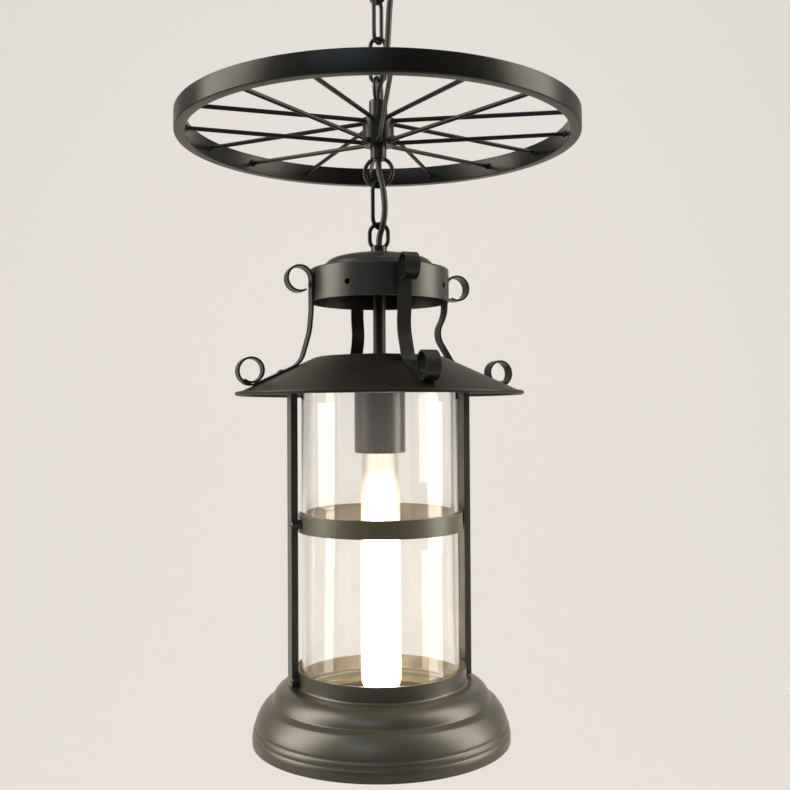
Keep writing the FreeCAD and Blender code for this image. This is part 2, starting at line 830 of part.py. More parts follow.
def cap():
    """A low dome with a rounded brow stands on a flat flange, whose edge turns down into the side."""
    corner = s.cap_corner
    run, drop = s.cap_dome_radius - s.cap_crest_radius, s.cap_dome_drop
    dome = (run * run + drop * drop) / (drop * 2)
    brow_end, flange = s.cap_flange_start - 2.9, CAP_EDGE + corner
    line = [
        (s.stem_radius + s.thread_clearance, CAP_CREST),
        (s.cap_crest_radius, CAP_CREST),
        (s.cap_dome_radius, CAP_CREST - drop, dome, -1),
        (brow_end, flange + 1.9, as_size(12.0), -1),
        (s.cap_flange_start, flange + 0.4, as_size(4.0), 1),
        (s.cap_radius - corner, flange),
        (s.cap_radius, CAP_EDGE, corner, -1),
        (s.cap_radius, CAP_BOTTOM),
    ]
    shell = spun_sheet("cap_shell", line, s.sheet_wall, -1)
    reach = float(s.cap_radius) + 2
    depth = float(s.sheet_wall) + 6
    tools = []
    for side, azimuth in STRAP_SIDES.items():
        rivet_hole = Part.makeCylinder(float(s.rivet_radius + s.thread_clearance), depth)
        place = polar(azimuth, reach, cap_rivet_level(side))
        tools.append(facing(rivet_hole, place, -radial_direction(azimuth)))
        punched = Part.makeCylinder(float(s.punched_hole_radius), depth)
        between = azimuth + 45
        tools.append(facing(punched, polar(between, reach, PUNCHED_LEVEL), -radial_direction(between)))
    return cut("cap", shell, from_shape("cap_holes", Part.Compound(tools)))


def roof_surface(radius, above=0.0):
    """Level of the roof's sloping top at a radius, or of a line that far above it."""
    lean = math.sqrt(1 + float(ROOF_SLOPE) ** 2)
    return float(ROOF_TOP) - (float(radius) - float(s.roof_flat_radius)) * float(ROOF_SLOPE) + above * lean


def roof_outward():
    """Direction down the roof's slope in (radius, level)."""
    return Vector(1, -float(ROOF_SLOPE), 0).normalize()


def strap_path(waist, scroll_drop, upper_radius, foot_radius, scroll_reach):
    """Centre line of a strap in (radius, level): a curled top, down the cap's side, in to its
    waist, out to the roof, down the slope and round the lower scroll, whose end tucks inside."""
    half = float(s.strap_gauge) / 2
    curl, upper_curl = float(s.scroll_radius) - half, upper_radius - half
    face = float(s.cap_radius + s.strap_seat) + half
    top = Vector(face + upper_curl, float(CAP_EDGE - scroll_drop), 0)
    seat = float(s.strap_seat) + half
    foot = Vector(foot_radius, roof_surface(foot_radius, seat), 0)
    waist_level = float(CAP_BOTTOM - s.strap_waist_drop)
    outward = roof_outward()
    normal = Vector(-outward.y, outward.x, 0)
    low = Vector(scroll_reach, roof_surface(scroll_reach, seat + curl), 0)
    touch = low - normal * curl

    def on_arc(centre, radius, degrees):
        turn = math.radians(degrees)
        return centre + Vector(math.cos(turn), math.sin(turn), 0) * radius

    def arc(centre, radius, first, last):
        middle = (first + last) / 2
        return Part.Arc(*(on_arc(centre, radius, a) for a in (first, middle, last))).toShape()

    edges = [arc(top, upper_curl, -120, 30), arc(top, upper_curl, 30, 180)]
    line = [
        Vector(face, top.y, 0),
        Vector(face, float(CAP_BOTTOM) - float(s.strap_waist_drop) / 3, 0),
        Vector(face - waist, waist_level, 0),
        foot,
        touch,
    ]
    edges += rounded_path(line, bend_radii(line, (28.0, 40.0, 16.0)))
    start = math.degrees(math.atan2(-normal.y, -normal.x))
    shrink = float(s.strap_gauge) * 0.62
    second = low + (low - touch).normalize() * shrink
    edges.append(arc(low, curl, start, start + 180))
    edges.append(arc(second, curl - shrink, start + 180, start + 360))
    third = second - (low - touch).normalize() * (shrink * 0.8)
    edges.append(arc(third, curl - shrink * 1.8, start + 360, start + 425))
    return edges


def bend_radii(line, largest):
    """A radius for each bend, as large as wished where its two runs leave room for it."""
    radii = []
    for i, wished in enumerate(largest, start=1):
        before, after = line[i] - line[i - 1], line[i + 1] - line[i]
        room = 0.48 * min(before.Length, after.Length)
        radii.append(min(wished, room / math.tan(before.getAngle(after) / 2)))
    return radii


def strap(side):
    azimuth = STRAP_SIDES[side]
    path = Part.Wire(strap_path(*STRAP_SHAPES[side]))
    first = path.Edges[0]
    begin, way = first.valueAt(first.FirstParameter), first.tangentAt(first.FirstParameter)
    across = Vector(-way.y, way.x, 0) * (float(s.strap_gauge) / 2)
    lift = UP * (float(s.strap_width) / 2)
    corners = [begin + across + lift, begin - across + lift, begin - across - lift, begin + across - lift]
    profile = Part.makePolygon(corners + corners[:1])
    sweep = Part.BRepOffsetAPI.MakePipeShell(path)
    sweep.setBiNormalMode(UP)
    sweep.add(profile)
    sweep.build()
    sweep.makeSolid()
    shape = sweep.shape()
    stand = FreeCAD.Rotation(radial_direction(azimuth), UP, radial_direction(azimuth).cross(UP), "XYZ")
    shape.Placement = FreeCAD.Placement(Vector(0, 0, 0), stand)
    bore = float(s.rivet_radius + s.thread_clearance)
    hole = facing(
        Part.makeCylinder(bore, 8.0), polar(azimuth, s.cap_radius + 5, cap_rivet_level(side)),
        -radial_direction(azimuth),
    )
    return from_shape(f"strap_{side}", shape.cut([hole, roof_rivet_hole(azimuth, bore)]))


def roof_normal(azimuth):
    outward = roof_outward()
    return radial_direction(azimuth) * -outward.y + UP * outward.x


def roof_rivet_hole(azimuth, bore):
    reach = float(ROOF_RIVET_REACH)
    place = polar(azimuth, reach, roof_surface(reach)) + roof_normal(azimuth) * 8
    return facing(Part.makeCylinder(bore, 20.0), place, -roof_normal(azimuth))


def tab_clearance():
    """Height between the cone of the roof and a flat tab below it, whose edges reach lower."""
    edge_dip = float(ROOF_SLOPE * s.side_bar_width * s.side_bar_width / (SIDE_BAR_RADIUS * 8))
    return edge_dip + 0.15


def cap_rivets():
    length = float(s.strap_gauge + s.strap_seat + s.sheet_wall) + 0.08
    rivet = button(
        float(s.rivet_head_radius), float(s.rivet_head_height), float(s.rivet_radius), length + 0.1,
        float(s.rivet_head_radius) - 0.3, 1.0,
    )
    reach = s.cap_radius + s.strap_seat + s.strap_gauge + 0.05
    return from_shape("cap_rivets", Part.Compound([
        facing(rivet, polar(azimuth, reach, cap_rivet_level(side)), radial_direction(azimuth))
        for side, azimuth in STRAP_SIDES.items()
    ]))


def roof_rivets():
    """The two rivets on the side bars are longer, because they hold the bars' tabs too."""
    made = []
    for side, azimuth in STRAP_SIDES.items():
        through = float(s.strap_seat + s.strap_gauge + s.sheet_wall) + 0.1
        if side in BAR_SIDES:
            through += float(s.side_bar_gauge) / 2 + tab_clearance()
        rivet = button(
            float(s.rivet_head_radius), float(s.rivet_head_height), float(s.rivet_radius), through + 0.1,
            float(s.rivet_head_radius) - 0.3, 1.0,
        )
        reach = float(ROOF_RIVET_REACH)
        top = float(s.strap_seat + s.strap_gauge) + 0.05
        place = polar(azimuth, reach, roof_surface(reach)) + roof_normal(azimuth) * top
        made.append(facing(rivet, place, roof_normal(azimuth)))
    return from_shape("roof_rivets", Part.Compound(made))


def roof():
    bead = s.roof_bead
    start, end = s.roof_flat_radius, s.roof_radius - bead
    slope = ROOF_SLOPE
    back = s.roof_shoulder * math.tan(math.atan(float(slope)) / 2)
    lean = math.sqrt(1 + float(slope) ** 2)
    line = [
        (s.stem_radius + s.thread_clearance, ROOF_CENTRE),
        (s.roof_seat_radius, ROOF_CENTRE),
        (start - back, ROOF_TOP),
        (start + back / lean, ROOF_TOP - back * float(slope) / lean, s.roof_shoulder, -1),
        (end, ROOF_EDGE),
    ]
    cone = spun_sheet("roof_cone", line, s.sheet_wall, -1)
    lip = solid("Torus", "roof_lip", Radius1=end, Radius2=bead)
    at_height(lip, ROOF_EDGE - s.sheet_wall / 2)
    holes = [
        roof_rivet_hole(azimuth, float(s.rivet_radius + s.thread_clearance))
        for azimuth in STRAP_SIDES.values()
    ]
    return cut("roof", fuse("roof_whole", cone, lip), from_shape("roof_holes", Part.Compound(holes)))


keep(lantern_eye())
keep(cap())
for side_name in STRAP_SIDES:
    keep(strap(side_name))
keep(cap_rivets())
keep(roof_rivets())
keep(roof())
keep(threaded_tube(
    "stem_tube", LANTERN_NECK_TOP - 2.9, HOLDER_TOP - 6.0, s.stem_radius, s.tube_bore
))
stem_bore = s.stem_radius + s.thread_clearance
keep(fuse("stem_nuts", *(
    hexagon_nut(f"stem_nut_{i}", face - s.nut_height, s.nut_height, stem_bore)
    for i, face in enumerate((CAP_CREST - s.sheet_wall, ROOF_UNDERSIDE, SOCKET_CUP_TOP - s.sheet_wall))
)))

# ---------------------------------------------------------------- lamp holder and bulb


def socket_cup():
    line = [
        (s.stem_radius + s.thread_clearance, SOCKET_CUP_TOP),
        (s.socket_cup_radius - 3, SOCKET_CUP_TOP),
        (s.socket_cup_radius, SOCKET_CUP_TOP - 3, as_size(3), -1),
        (s.socket_cup_radius, SOCKET_CUP_BOTTOM),
    ]
    return spun_sheet("socket_cup", line, s.sheet_wall, -1)


def lampholder():
    neck = s.stem_radius + s.thread_clearance
    floor = SHELL_TOP + 1.5
    return spun("lampholder", [
        (neck, HOLDER_TOP),
        (neck, HOLDER_TOP - 7.0),
        (as_size(2.0), HOLDER_TOP - 7.0),
        (as_size(2.0), floor),
        (s.holder_bore, floor),
        (s.holder_bore, HOLDER_BOTTOM),
        (s.holder_radius, HOLDER_BOTTOM),
        (s.holder_radius, HOLDER_TOP - 4.0),
        (s.holder_radius - 4.0, HOLDER_TOP),
    ])


def lampholder_shell():
    """Threaded shell: a plain bore with a rounded rib for each turn of the thread."""
    inner = s.shell_radius - s.shell_wall
    outline = [(inner, SHELL_BOTTOM), (s.shell_radius, SHELL_BOTTOM), (s.shell_radius, SHELL_TOP)]
    outline.append((inner, SHELL_TOP))
    return spun("lampholder_shell", outline)


def lampholder_contact():
    floor = SHELL_TOP + 1.5
    return spun("lampholder_contact", [
        (as_size(0), floor - 5.0),
        (as_size(2.5), floor - 5.0),
        (as_size(4.5), floor - 3.5),
        (as_size(4.5), floor - 0.05),
        (as_size(1.9), floor - 0.05),
        (as_size(1.9), floor + 3.0),
        (as_size(0), floor + 3.0),
    ])


CONTACT_LEVEL = SHELL_TOP + 1.5 - 5.0 - 0.1
BULB_CAP_BOTTOM = CONTACT_LEVEL - s.bulb_cap_height
BULB_END = CONTACT_LEVEL - s.bulb_length


def bulb_cap():
    """E27 cap: contact button, glass insulator cone and a shell whose thread is rounded ribs."""
    pitch, rib_count = 3.62, 5
    crest, valley = s.bulb_cap_radius, s.bulb_cap_radius - 1.0
    outline = [(as_size(0), CONTACT_LEVEL), (as_size(4.6), CONTACT_LEVEL)]
    outline.append((as_size(5.4), CONTACT_LEVEL - 1.0))
    outline.append((valley - 2.5, CONTACT_LEVEL - 3.2))
    level = CONTACT_LEVEL - 4.2
    outline.append((valley, level))
    for _ in range(rib_count):
        outline.append((crest, level - pitch / 2, as_size(1.6), -1))
        outline.append((valley, level - pitch, as_size(1.6), -1))
        level = level - pitch
    outline.append((valley, BULB_CAP_BOTTOM))
    outline.append((as_size(0), BULB_CAP_BOTTOM))
    return spun("bulb_cap", outline)


def bulb_glass():
    """Long tubular bulb: a short neck, a gentle shoulder, straight sides and a round end."""
    neck, full, wall = s.bulb_neck_radius, s.bulb_radius, s.bulb_wall
    top = BULB_CAP_BOTTOM - 0.05
    line = [
        (neck, top),
        (neck, top - 12.0),
        (full, top - 52.0),
        (full, BULB_END + full),
        (as_size(0.2), BULB_END, full + 0.1, -1),
    ]
    return spun_sheet("bulb_glass", line, wall, -1)


def bulb_mount():
    """Glass stem and centre rod that carry the filament."""
    top = BULB_CAP_BOTTOM - 0.1
    return spun("bulb_mount", [
        (as_size(0), top),
        (as_size(10.5), top),
        (as_size(10.5), top - 2.0),
        (as_size(4.0), top - 9.0),
        (as_size(3.0), top - 34.0),
        (as_size(1.0), top - 38.0),
        (as_size(1.0), top - 168.0),
        (as_size(1.8), top - 169.5),
        (as_size(0), top - 170.5),
    ])


def bulb_filament():
    """Eight long hairpin runs of filament round the mount's centre rod, joined end to end."""
    run_count, radius, wire = 8, 6.0, 0.35
    high, low = float(BULB_CAP_BOTTOM) - 44.0, float(BULB_CAP_BOTTOM) - 160.0
    posts = [polar(45.0 * i + 22.5, radius, 0) for i in range(run_count)]
    pieces = []
    for i, post in enumerate(posts):
        pieces.append(Part.makeCylinder(wire, high - low, post + UP * low))
        if i + 1 < run_count:
            level = high if i % 2 else low
            start, end = post + UP * level, posts[i + 1] + UP * level
            pieces.append(Part.makeCylinder(wire, (end - start).Length, start, end - start))
            pieces.append(Part.makeSphere(wire, start))
            pieces.append(Part.makeSphere(wire, end))
    whole = pieces[0].fuse(pieces[1:])
    spokes = []
    for level, parity in ((high, 0), (low, 1)):
        for i in range(parity, run_count, 2):
            start = UP * level
            spokes.append(Part.makeCylinder(0.25, radius - 1.05, posts[i] / radius * 1.05 + start, posts[i]))
    return from_shape("bulb_filament", whole.fuse(spokes).removeSplitter())


keep(socket_cup())
keep(lampholder())
keep(lampholder_shell())
keep(lampholder_contact())
keep(bulb_cap())
keep(bulb_glass())
keep(bulb_mount())
keep(bulb_filament())

# ---------------------------------------------------------------- glass, bars and band


def ring_section(label, inner, outer, bottom, top):
    return spun(label, [(inner, bottom), (outer, bottom), (outer, top), (inner, top)])


def glass_retainer():
    """Channel under the roof that holds the glass's top: a skirt round it and a web over it."""
    inner = s.glass_radius + s.retainer_gap
    outer = inner + s.sheet_wall
    web_inner = s.glass_radius - s.glass_wall - 1.0
    web = GLASS_TOP + s.gasket_gauge + s.soft_clearance
    lean = math.sqrt(1 + float(ROOF_SLOPE) ** 2)
    under = s.sheet_wall * lean + 0.05
    inner_top = ROOF_TOP - (inner - s.roof_flat_radius) * ROOF_SLOPE - under
    outer_top = ROOF_TOP - (outer - s.roof_flat_radius) * ROOF_SLOPE - under
    skirt_end = GLASS_TOP - s.retainer_skirt / 2
    return spun("glass_retainer", [
        (web_inner, web),
        (inner, web),
        (inner, skirt_end),
        (outer, skirt_end),
        (outer, outer_top),
        (inner, inner_top),
        (inner, web + s.sheet_wall),
        (web_inner, web + s.sheet_wall),
    ])


def side_bar(side):
    """Flat bar down the side of the glass. Its top end is bent outwards and lies under the roof."""
    azimuth = STRAP_SIDES[side]
    inner, gauge, width = float(SIDE_BAR_RADIUS), float(s.side_bar_gauge), float(s.side_bar_width)
    lean = math.sqrt(1 + float(ROOF_SLOPE) ** 2)
    under = float(s.sheet_wall) * lean + tab_clearance()

    def below_roof(radius, more=0.0):
        return Vector(radius, roof_surface(radius) - under - more, 0)

    outer = inner + gauge
    tab_end = outer + float(s.side_bar_tab)
    tab_depth = gauge / 2 * lean
    foot = float(COLLAR_FOOT) + 1.0
    corners = [
        Vector(inner, foot, 0),
        Vector(outer, foot, 0),
        below_roof(outer, tab_depth),
        below_roof(tab_end, tab_depth),
        below_roof(tab_end),
        below_roof(inner),
    ]
    face = Part.Face(Part.makePolygon(corners + corners[:1]))
    bar = face.extrude(UP * width)
    bar.translate(UP * (-width / 2))
    stand = FreeCAD.Rotation(radial_direction(azimuth), UP, radial_direction(azimuth).cross(UP), "XYZ")
    bar.Placement = FreeCAD.Placement(Vector(0, 0, 0), stand)
    bore = float(s.screw_radius + s.thread_clearance)
    tools = [roof_rivet_hole(azimuth, float(s.rivet_radius + s.thread_clearance))]
    for level in (BAND_TOP - s.band_height / 2, COLLAR_TOP - s.collar_height / 2):
        place = polar(azimuth, outer + 2, level)
        tools.append(facing(Part.makeCylinder(bore, gauge + 4), place, -radial_direction(azimuth)))
    return from_shape(f"side_bar_{side}", bar.cut(tools))


def drilled_ring(label, ring, level, bore):
    """A ring with a hole at each side bar."""
    tools = []
    for side in BAR_SIDES:
        azimuth = STRAP_SIDES[side]
        place = polar(azimuth, COLLAR_RADIUS + 3, level)
        tools.append(facing(Part.makeCylinder(float(bore), 9.0), place, -radial_direction(azimuth)))
    return cut(label, ring, from_shape(label + "_holes", Part.Compound(tools)))


def bar_spacers():
    """Short bushes that fill the gap between the band and the bars, round the band's screws."""
    made = []
    bore = float(s.screw_radius + s.thread_clearance)
    start = float(BAND_RADIUS) + 0.12
    length = float(SIDE_BAR_RADIUS) - 0.02 - start
    for side in BAR_SIDES:
        azimuth = STRAP_SIDES[side]
        bush = Part.makeCylinder(bore + 1.8, length).cut(Part.makeCylinder(bore, length))
        made.append(facing(bush, polar(azimuth, start, BAND_LEVEL), radial_direction(azimuth)))
    return from_shape("bar_spacers", Part.Compound(made))


def bar_screws(label, level, seat):
    """Two screws through the bars into the ring behind them, with a nut face inside the ring."""
    outer = float(SIDE_BAR_RADIUS + s.side_bar_gauge)
    length = outer - float(seat) + float(s.band_wall) - 0.1
    screw = button(
        float(s.screw_head_radius), float(s.screw_head_height), float(s.screw_radius), length
    )
    deep = float(s.screw_head_height) / 2
    slot = Part.makeBox(float(s.screw_head_radius) * 2, 0.8, deep + 1)
    slot.translate(Vector(-float(s.screw_head_radius), -0.4, deep))
    screw = screw.cut(slot)
    return from_shape(label, Part.Compound([
        facing(screw, polar(STRAP_SIDES[side], outer + 0.05, level), radial_direction(STRAP_SIDES[side]))
        for side in BAR_SIDES
    ]))


LINER_RADIUS = s.glass_radius + 0.1
BAND_INNER = LINER_RADIUS + 0.9
BAND_RADIUS = BAND_INNER + s.band_wall
BAND_LEVEL = BAND_TOP - s.band_height / 2
COLLAR_LEVEL = COLLAR_TOP - s.collar_height / 2

keep(ring_section(
    "glass_cylinder", s.glass_radius - s.glass_wall, s.glass_radius, GLASS_BOTTOM, GLASS_TOP
))
keep(glass_retainer())
keep(ring_section(
    "top_gasket", s.glass_radius - s.glass_wall - 0.6, s.glass_radius + s.retainer_gap - 0.1,
    GLASS_TOP + s.soft_clearance / 2, GLASS_TOP + s.soft_clearance / 2 + s.gasket_gauge,
))
for side_name in BAR_SIDES:
    keep(side_bar(side_name))
band_ring = ring_section("band_ring", BAND_INNER, BAND_RADIUS, BAND_TOP - s.band_height, BAND_TOP)
keep(drilled_ring("glass_band", band_ring, BAND_LEVEL, s.screw_radius + s.thread_clearance))
keep(ring_section(
    "band_liner", LINER_RADIUS, BAND_INNER - 0.1, BAND_TOP - s.band_height + 0.5, BAND_TOP - 0.5
))
keep(bar_spacers())
keep(bar_screws("band_screws", BAND_LEVEL, BAND_RADIUS))

# ---------------------------------------------------------------- base


def base_bell():
    """Spun bell: a collar, a rounded shoulder, a valley, a wider bulge and two fine lines pressed
    in above a plain foot."""
    fillet, valley = 3.6, SHOULDER_LEVEL
    line = [
        (COLLAR_RADIUS, COLLAR_TOP),
        (COLLAR_RADIUS, COLLAR_FOOT + fillet),
        (COLLAR_RADIUS + fillet, COLLAR_FOOT - 0.3, as_size(fillet * 1.1), 1),
        (s.shoulder_radius - 1.0, valley + 1.4, as_size(16.5), -1),
        (s.shoulder_radius + 0.7, valley - 0.8, as_size(2.0), 1),
        (s.bell_radius - 2.3, BASE_BOTTOM + 14.6, as_size(42.0), -1),
        (s.bell_radius - 1.7, BASE_BOTTOM + 12.9, as_size(1.6), 1),
        (s.bell_radius - 0.9, BASE_BOTTOM + 9.9, as_size(6.0), -1),
        (s.bell_radius - 0.6, BASE_BOTTOM + 8.2, as_size(1.6), 1),
        (s.bell_radius, BASE_BOTTOM + 4.6, as_size(9.0), -1),
        (s.bell_radius, BASE_BOTTOM),
    ]
    shell = spun_sheet("bell_shell", line, s.sheet_wall, -1)
    return drilled_ring("base_bell", shell, COLLAR_LEVEL, s.screw_radius + s.thread_clearance)


def glass_seat():
    """Pressed ring inside the collar: a turned-up edge, a flat for the glass and a turned-down lip."""
    inner_collar = COLLAR_RADIUS - s.sheet_wall - 0.05
    wall = s.sheet_wall
    return spun("glass_seat", [
        (s.seat_bore, SEAT_TOP - s.seat_lip),
        (s.seat_bore + wall, SEAT_TOP - s.seat_lip),
        (s.seat_bore + wall, SEAT_TOP - wall),
        (inner_collar, SEAT_TOP - wall),
        (inner_collar, SEAT_TOP + s.seat_edge),
        (inner_collar - wall, SEAT_TOP + s.seat_edge),
        (inner_collar - wall, SEAT_TOP),
        (s.seat_bore, SEAT_TOP),
    ])


keep(base_bell())
keep(glass_seat())
keep(ring_section(
    "seat_gasket", s.glass_radius - s.glass_wall - 1.5, COLLAR_RADIUS - s.sheet_wall * 2 - 0.3,
    SEAT_TOP + 0.05, SEAT_TOP + s.gasket_gauge,
))
keep(bar_screws("foot_screws", COLLAR_LEVEL, COLLAR_RADIUS))

# ---------------------------------------------------------------- cable


def points_of(*triples):
    return [Vector(*triple) for triple in triples]


def cable_edges(points, name):
    """Lines and tangent arcs along a cable's route, each arc as large as its two runs allow."""
    radii = []
    for i in range(1, len(points) - 1):
        before, after = points[i] - points[i - 1], points[i + 1] - points[i]
        shorter = min(before.Length, after.Length)
        radii.append(0.45 * shorter / math.tan(before.getAngle(after) / 2))
    print(f"{name} radii", [round(r, 1) for r in radii])
    return rounded_path(points, radii)


def between_levels(edges, top, bottom):
    """The stretch of a falling route between two levels."""
    found = []
    for edge in edges:
        first, last = edge.FirstParameter, edge.LastParameter
        high, low = edge.valueAt(first).z, edge.valueAt(last).z
        if low >= top - 1e-6 or high <= bottom + 1e-6:
            continue
        start = first if high <= top + 1e-6 else level_parameter(edge, top)
        end = last if low >= bottom - 1e-6 else level_parameter(edge, bottom)
        found.append(edge.Curve.toShape(start, end))
    return found


def level_parameter(edge, level):
    first, last = edge.FirstParameter, edge.LastParameter
    for _ in range(60):
        middle = (first + last) / 2
        if edge.valueAt(middle).z > level:
            first = middle
        else:
            last = middle
    return (first + last) / 2


def cable_stretch(label, edges):
    tube = round_tube(edges, float(s.cable_radius))
    length = sum(edge.Length for edge in edges)
    section = math.pi * float(s.cable_radius) ** 2
    print(f"{label} length {length:.1f} volume ratio {tube.Volume / (section * length):.4f}")
    keep(from_shape(label, tube))


GRIP_END = CANOPY_FACE - s.grip_head_depth - s.grip_tail_depth
grip_x, grip_y = float(s.grip_offset), float(s.grip_setback)
inlet = float(s.block_offset - s.block_length / 2)
tail_level = float(CANOPY_FACE + s.grip_thread_height) + 8.0
upper_top, upper_end = float(GRIP_END), float(UPPER_NECK_TOP)
lower_top, lower_end = float(LOWER_NECK_END), float(LANTERN_NECK_TOP)
UPPER_ROUTE = [
    (grip_x, grip_y, upper_top),
    (grip_x, grip_y, upper_top - 9),
    (13.4, -3.6, upper_top - 24.5),
    (9.6, -3.2, upper_top - 47),
    (8.4, -3.9, upper_top - 69.4),
    (7.2, -7.8, upper_end + 36.5),
    (4.8, -7.3, upper_end + 21.9),
    (2.5, -5.2, upper_end + 14.7),
    (0, 0, upper_end + 7.1),
    (0, 0, upper_end),
]
LOWER_ROUTE = [
    (0, 0, lower_top),
    (0, 0, lower_top - 5.8),
    (0.9, -2.1, lower_top - 12.1),
    (3.3, -7.1, lower_top - 21.7),
    (4.9, -10.1, lower_top - 37.2),
    (4.4, -7.9, lower_end + 21),
    (2.7, -4.5, lower_end + 14.1),
    (0, 0, lower_end + 6.5),
    (0, 0, lower_end),
]
tail = points_of((grip_x, grip_y, upper_top), (grip_x, grip_y, tail_level), (inlet, grip_y, tail_level))
cable_stretch("cable_tail", cable_edges(tail, "cable tail"))

upper = cable_edges(points_of(*UPPER_ROUTE), "upper cable")
half_link = float(s.link_inner_length) / 2
stops = [upper_top, *(float(level) - half_link for level in LINK_TOPS[:3]), upper_end]
for number in range(4):
    cable_stretch(f"cable_upper_{number + 1}", between_levels(upper, stops[number], stops[number + 1]))

lower = cable_edges(points_of(*LOWER_ROUTE), "lower cable")
middle_level = float(DROP_LINK_TOP - s.drop_link_inner_length / 2)
for number, (high, low) in enumerate(((lower_top, middle_level), (middle_level, lower_end))):
    cable_stretch(f"cable_lower_{number + 1}", between_levels(lower, high, low))

for name, high, low in (
    ("cable_in_hub", upper_end, lower_top),
    ("cable_in_stem", lower_end, float(HOLDER_TOP) - 6.9),
):
    run = [Part.LineSegment(Vector(0, 0, high), Vector(0, 0, low)).toShape()]
    cable_stretch(name, run)

# ---------------------------------------------------------------- check and write

document.recompute()
for item in document.Objects:
    if "Invalid" in item.State or "Error" in item.State:
        raise RuntimeError(f"{item.Label} could not be made: {item.State}")
for name, made in parts.items():
    if made.Shape.isNull() or not made.Shape.isValid():
        raise RuntimeError(f"{name} has no valid shape")
    if not made.Shape.Solids:
        raise RuntimeError(f"{name} holds no solid")

os.makedirs("parts", exist_ok=True)
for name, made in parts.items():
    made.Shape.exportStep(f"parts/{name}.step")
extent = Part.Compound([made.Shape for made in parts.values()]).BoundBox
print(f"{len(parts)} sub-parts, {extent.XLength:.1f} x {extent.YLength:.1f} x {extent.ZLength:.1f} mm")
for name, level in (("hang", CEILING_HANG), ("hub top", HUB_TOP), ("cap crest", CAP_CREST),
                    ("roof", ROOF_TOP), ("base", BASE_BOTTOM)):
    print(f"{name} level {float(level):.2f}")
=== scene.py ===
# %% [markdown]
# # A wagon wheel chandelier
# A lantern with a long glass hangs on a chain below an iron wagon wheel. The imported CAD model
# gives every place and every moving body; this file gives the looks. Everything is in metres,
# in the model's own frame: the origin is on the ceiling, Z is up and -Y is the front.

import json
import math

import bmesh
import bpy
import numpy as np
from mathutils import Matrix, Vector


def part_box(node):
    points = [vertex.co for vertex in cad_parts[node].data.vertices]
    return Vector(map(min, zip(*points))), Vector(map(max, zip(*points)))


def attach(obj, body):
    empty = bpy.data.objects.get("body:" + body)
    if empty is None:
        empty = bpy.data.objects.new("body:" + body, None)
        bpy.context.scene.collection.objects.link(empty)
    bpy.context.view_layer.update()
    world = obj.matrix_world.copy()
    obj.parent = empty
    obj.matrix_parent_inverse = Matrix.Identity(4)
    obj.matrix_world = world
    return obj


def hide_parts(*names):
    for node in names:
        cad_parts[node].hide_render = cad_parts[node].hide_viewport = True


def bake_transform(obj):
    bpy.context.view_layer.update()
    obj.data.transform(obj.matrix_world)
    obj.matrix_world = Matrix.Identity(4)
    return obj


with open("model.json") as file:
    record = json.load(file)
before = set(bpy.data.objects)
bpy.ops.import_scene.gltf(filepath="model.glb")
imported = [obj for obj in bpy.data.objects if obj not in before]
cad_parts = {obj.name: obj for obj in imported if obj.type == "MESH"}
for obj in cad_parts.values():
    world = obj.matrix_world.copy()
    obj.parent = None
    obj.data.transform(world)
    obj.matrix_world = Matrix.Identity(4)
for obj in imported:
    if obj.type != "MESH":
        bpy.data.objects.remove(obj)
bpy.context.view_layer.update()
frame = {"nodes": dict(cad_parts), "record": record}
nodes = frame["nodes"]
MM = 0.001

# %% [markdown]
# ## The camera
# The photograph was taken a little above the glass's middle, from about five wheel radii away.
# Its lens, height and tilt were worked out from three ellipses: the wheel's rim, the lantern's
# roof and the base. A camera is placed by its own axes, because yaw, pitch and a small roll all
# matter, and a matrix says them without any question of order.

# %% Camera
IMAGE_SIZE = 790
FOCAL_PIXELS = 982
SENSOR_WIDTH = 36
CAMERA_PLACE = Vector((0, -0.770, -0.409))
PITCH, YAW, ROLL = 0.0191, 0.0155, -0.0060


def make_camera():
    level = math.cos(PITCH)
    ahead = Vector((math.sin(YAW) * level, math.cos(YAW) * level, math.sin(PITCH)))
    right = Vector((math.cos(YAW), -math.sin(YAW), 0))
    up = right.cross(ahead)
    across = right * math.cos(ROLL) + up * math.sin(ROLL)
    upright = up * math.cos(ROLL) - right * math.sin(ROLL)
    data = bpy.data.cameras.new("camera")
    data.sensor_width = SENSOR_WIDTH
    data.lens = FOCAL_PIXELS * SENSOR_WIDTH / IMAGE_SIZE
    data.clip_start, data.clip_end = 0.02, 30
    camera = bpy.data.objects.new("camera", data)
    turn = Matrix((across, upright, -ahead)).transposed().to_4x4()
    camera.matrix_world = Matrix.Translation(CAMERA_PLACE) @ turn
    bpy.context.scene.collection.objects.link(camera)
    bpy.context.scene.camera = camera
    return camera


camera = make_camera()
bpy.context.scene.view_settings.view_transform = "Standard"
print("lens in mm:", round(camera.data.lens, 2))

# %% [markdown]
# ## Small tools for meshes
# Nearly every piece of this lantern was made by one of two moves: spinning a flat sheet over a
# form, or bending a bar along a line. So two helpers do most of the work here. `spun` turns a
# closed outline about the upright axis, and `swept` carries a small section along a path.


# %% Mesh helpers
SHARP_DEGREES = 32
LEAST_MITRE = 0.5  # keeps a sheet's inner line near where the outer one turns sharply


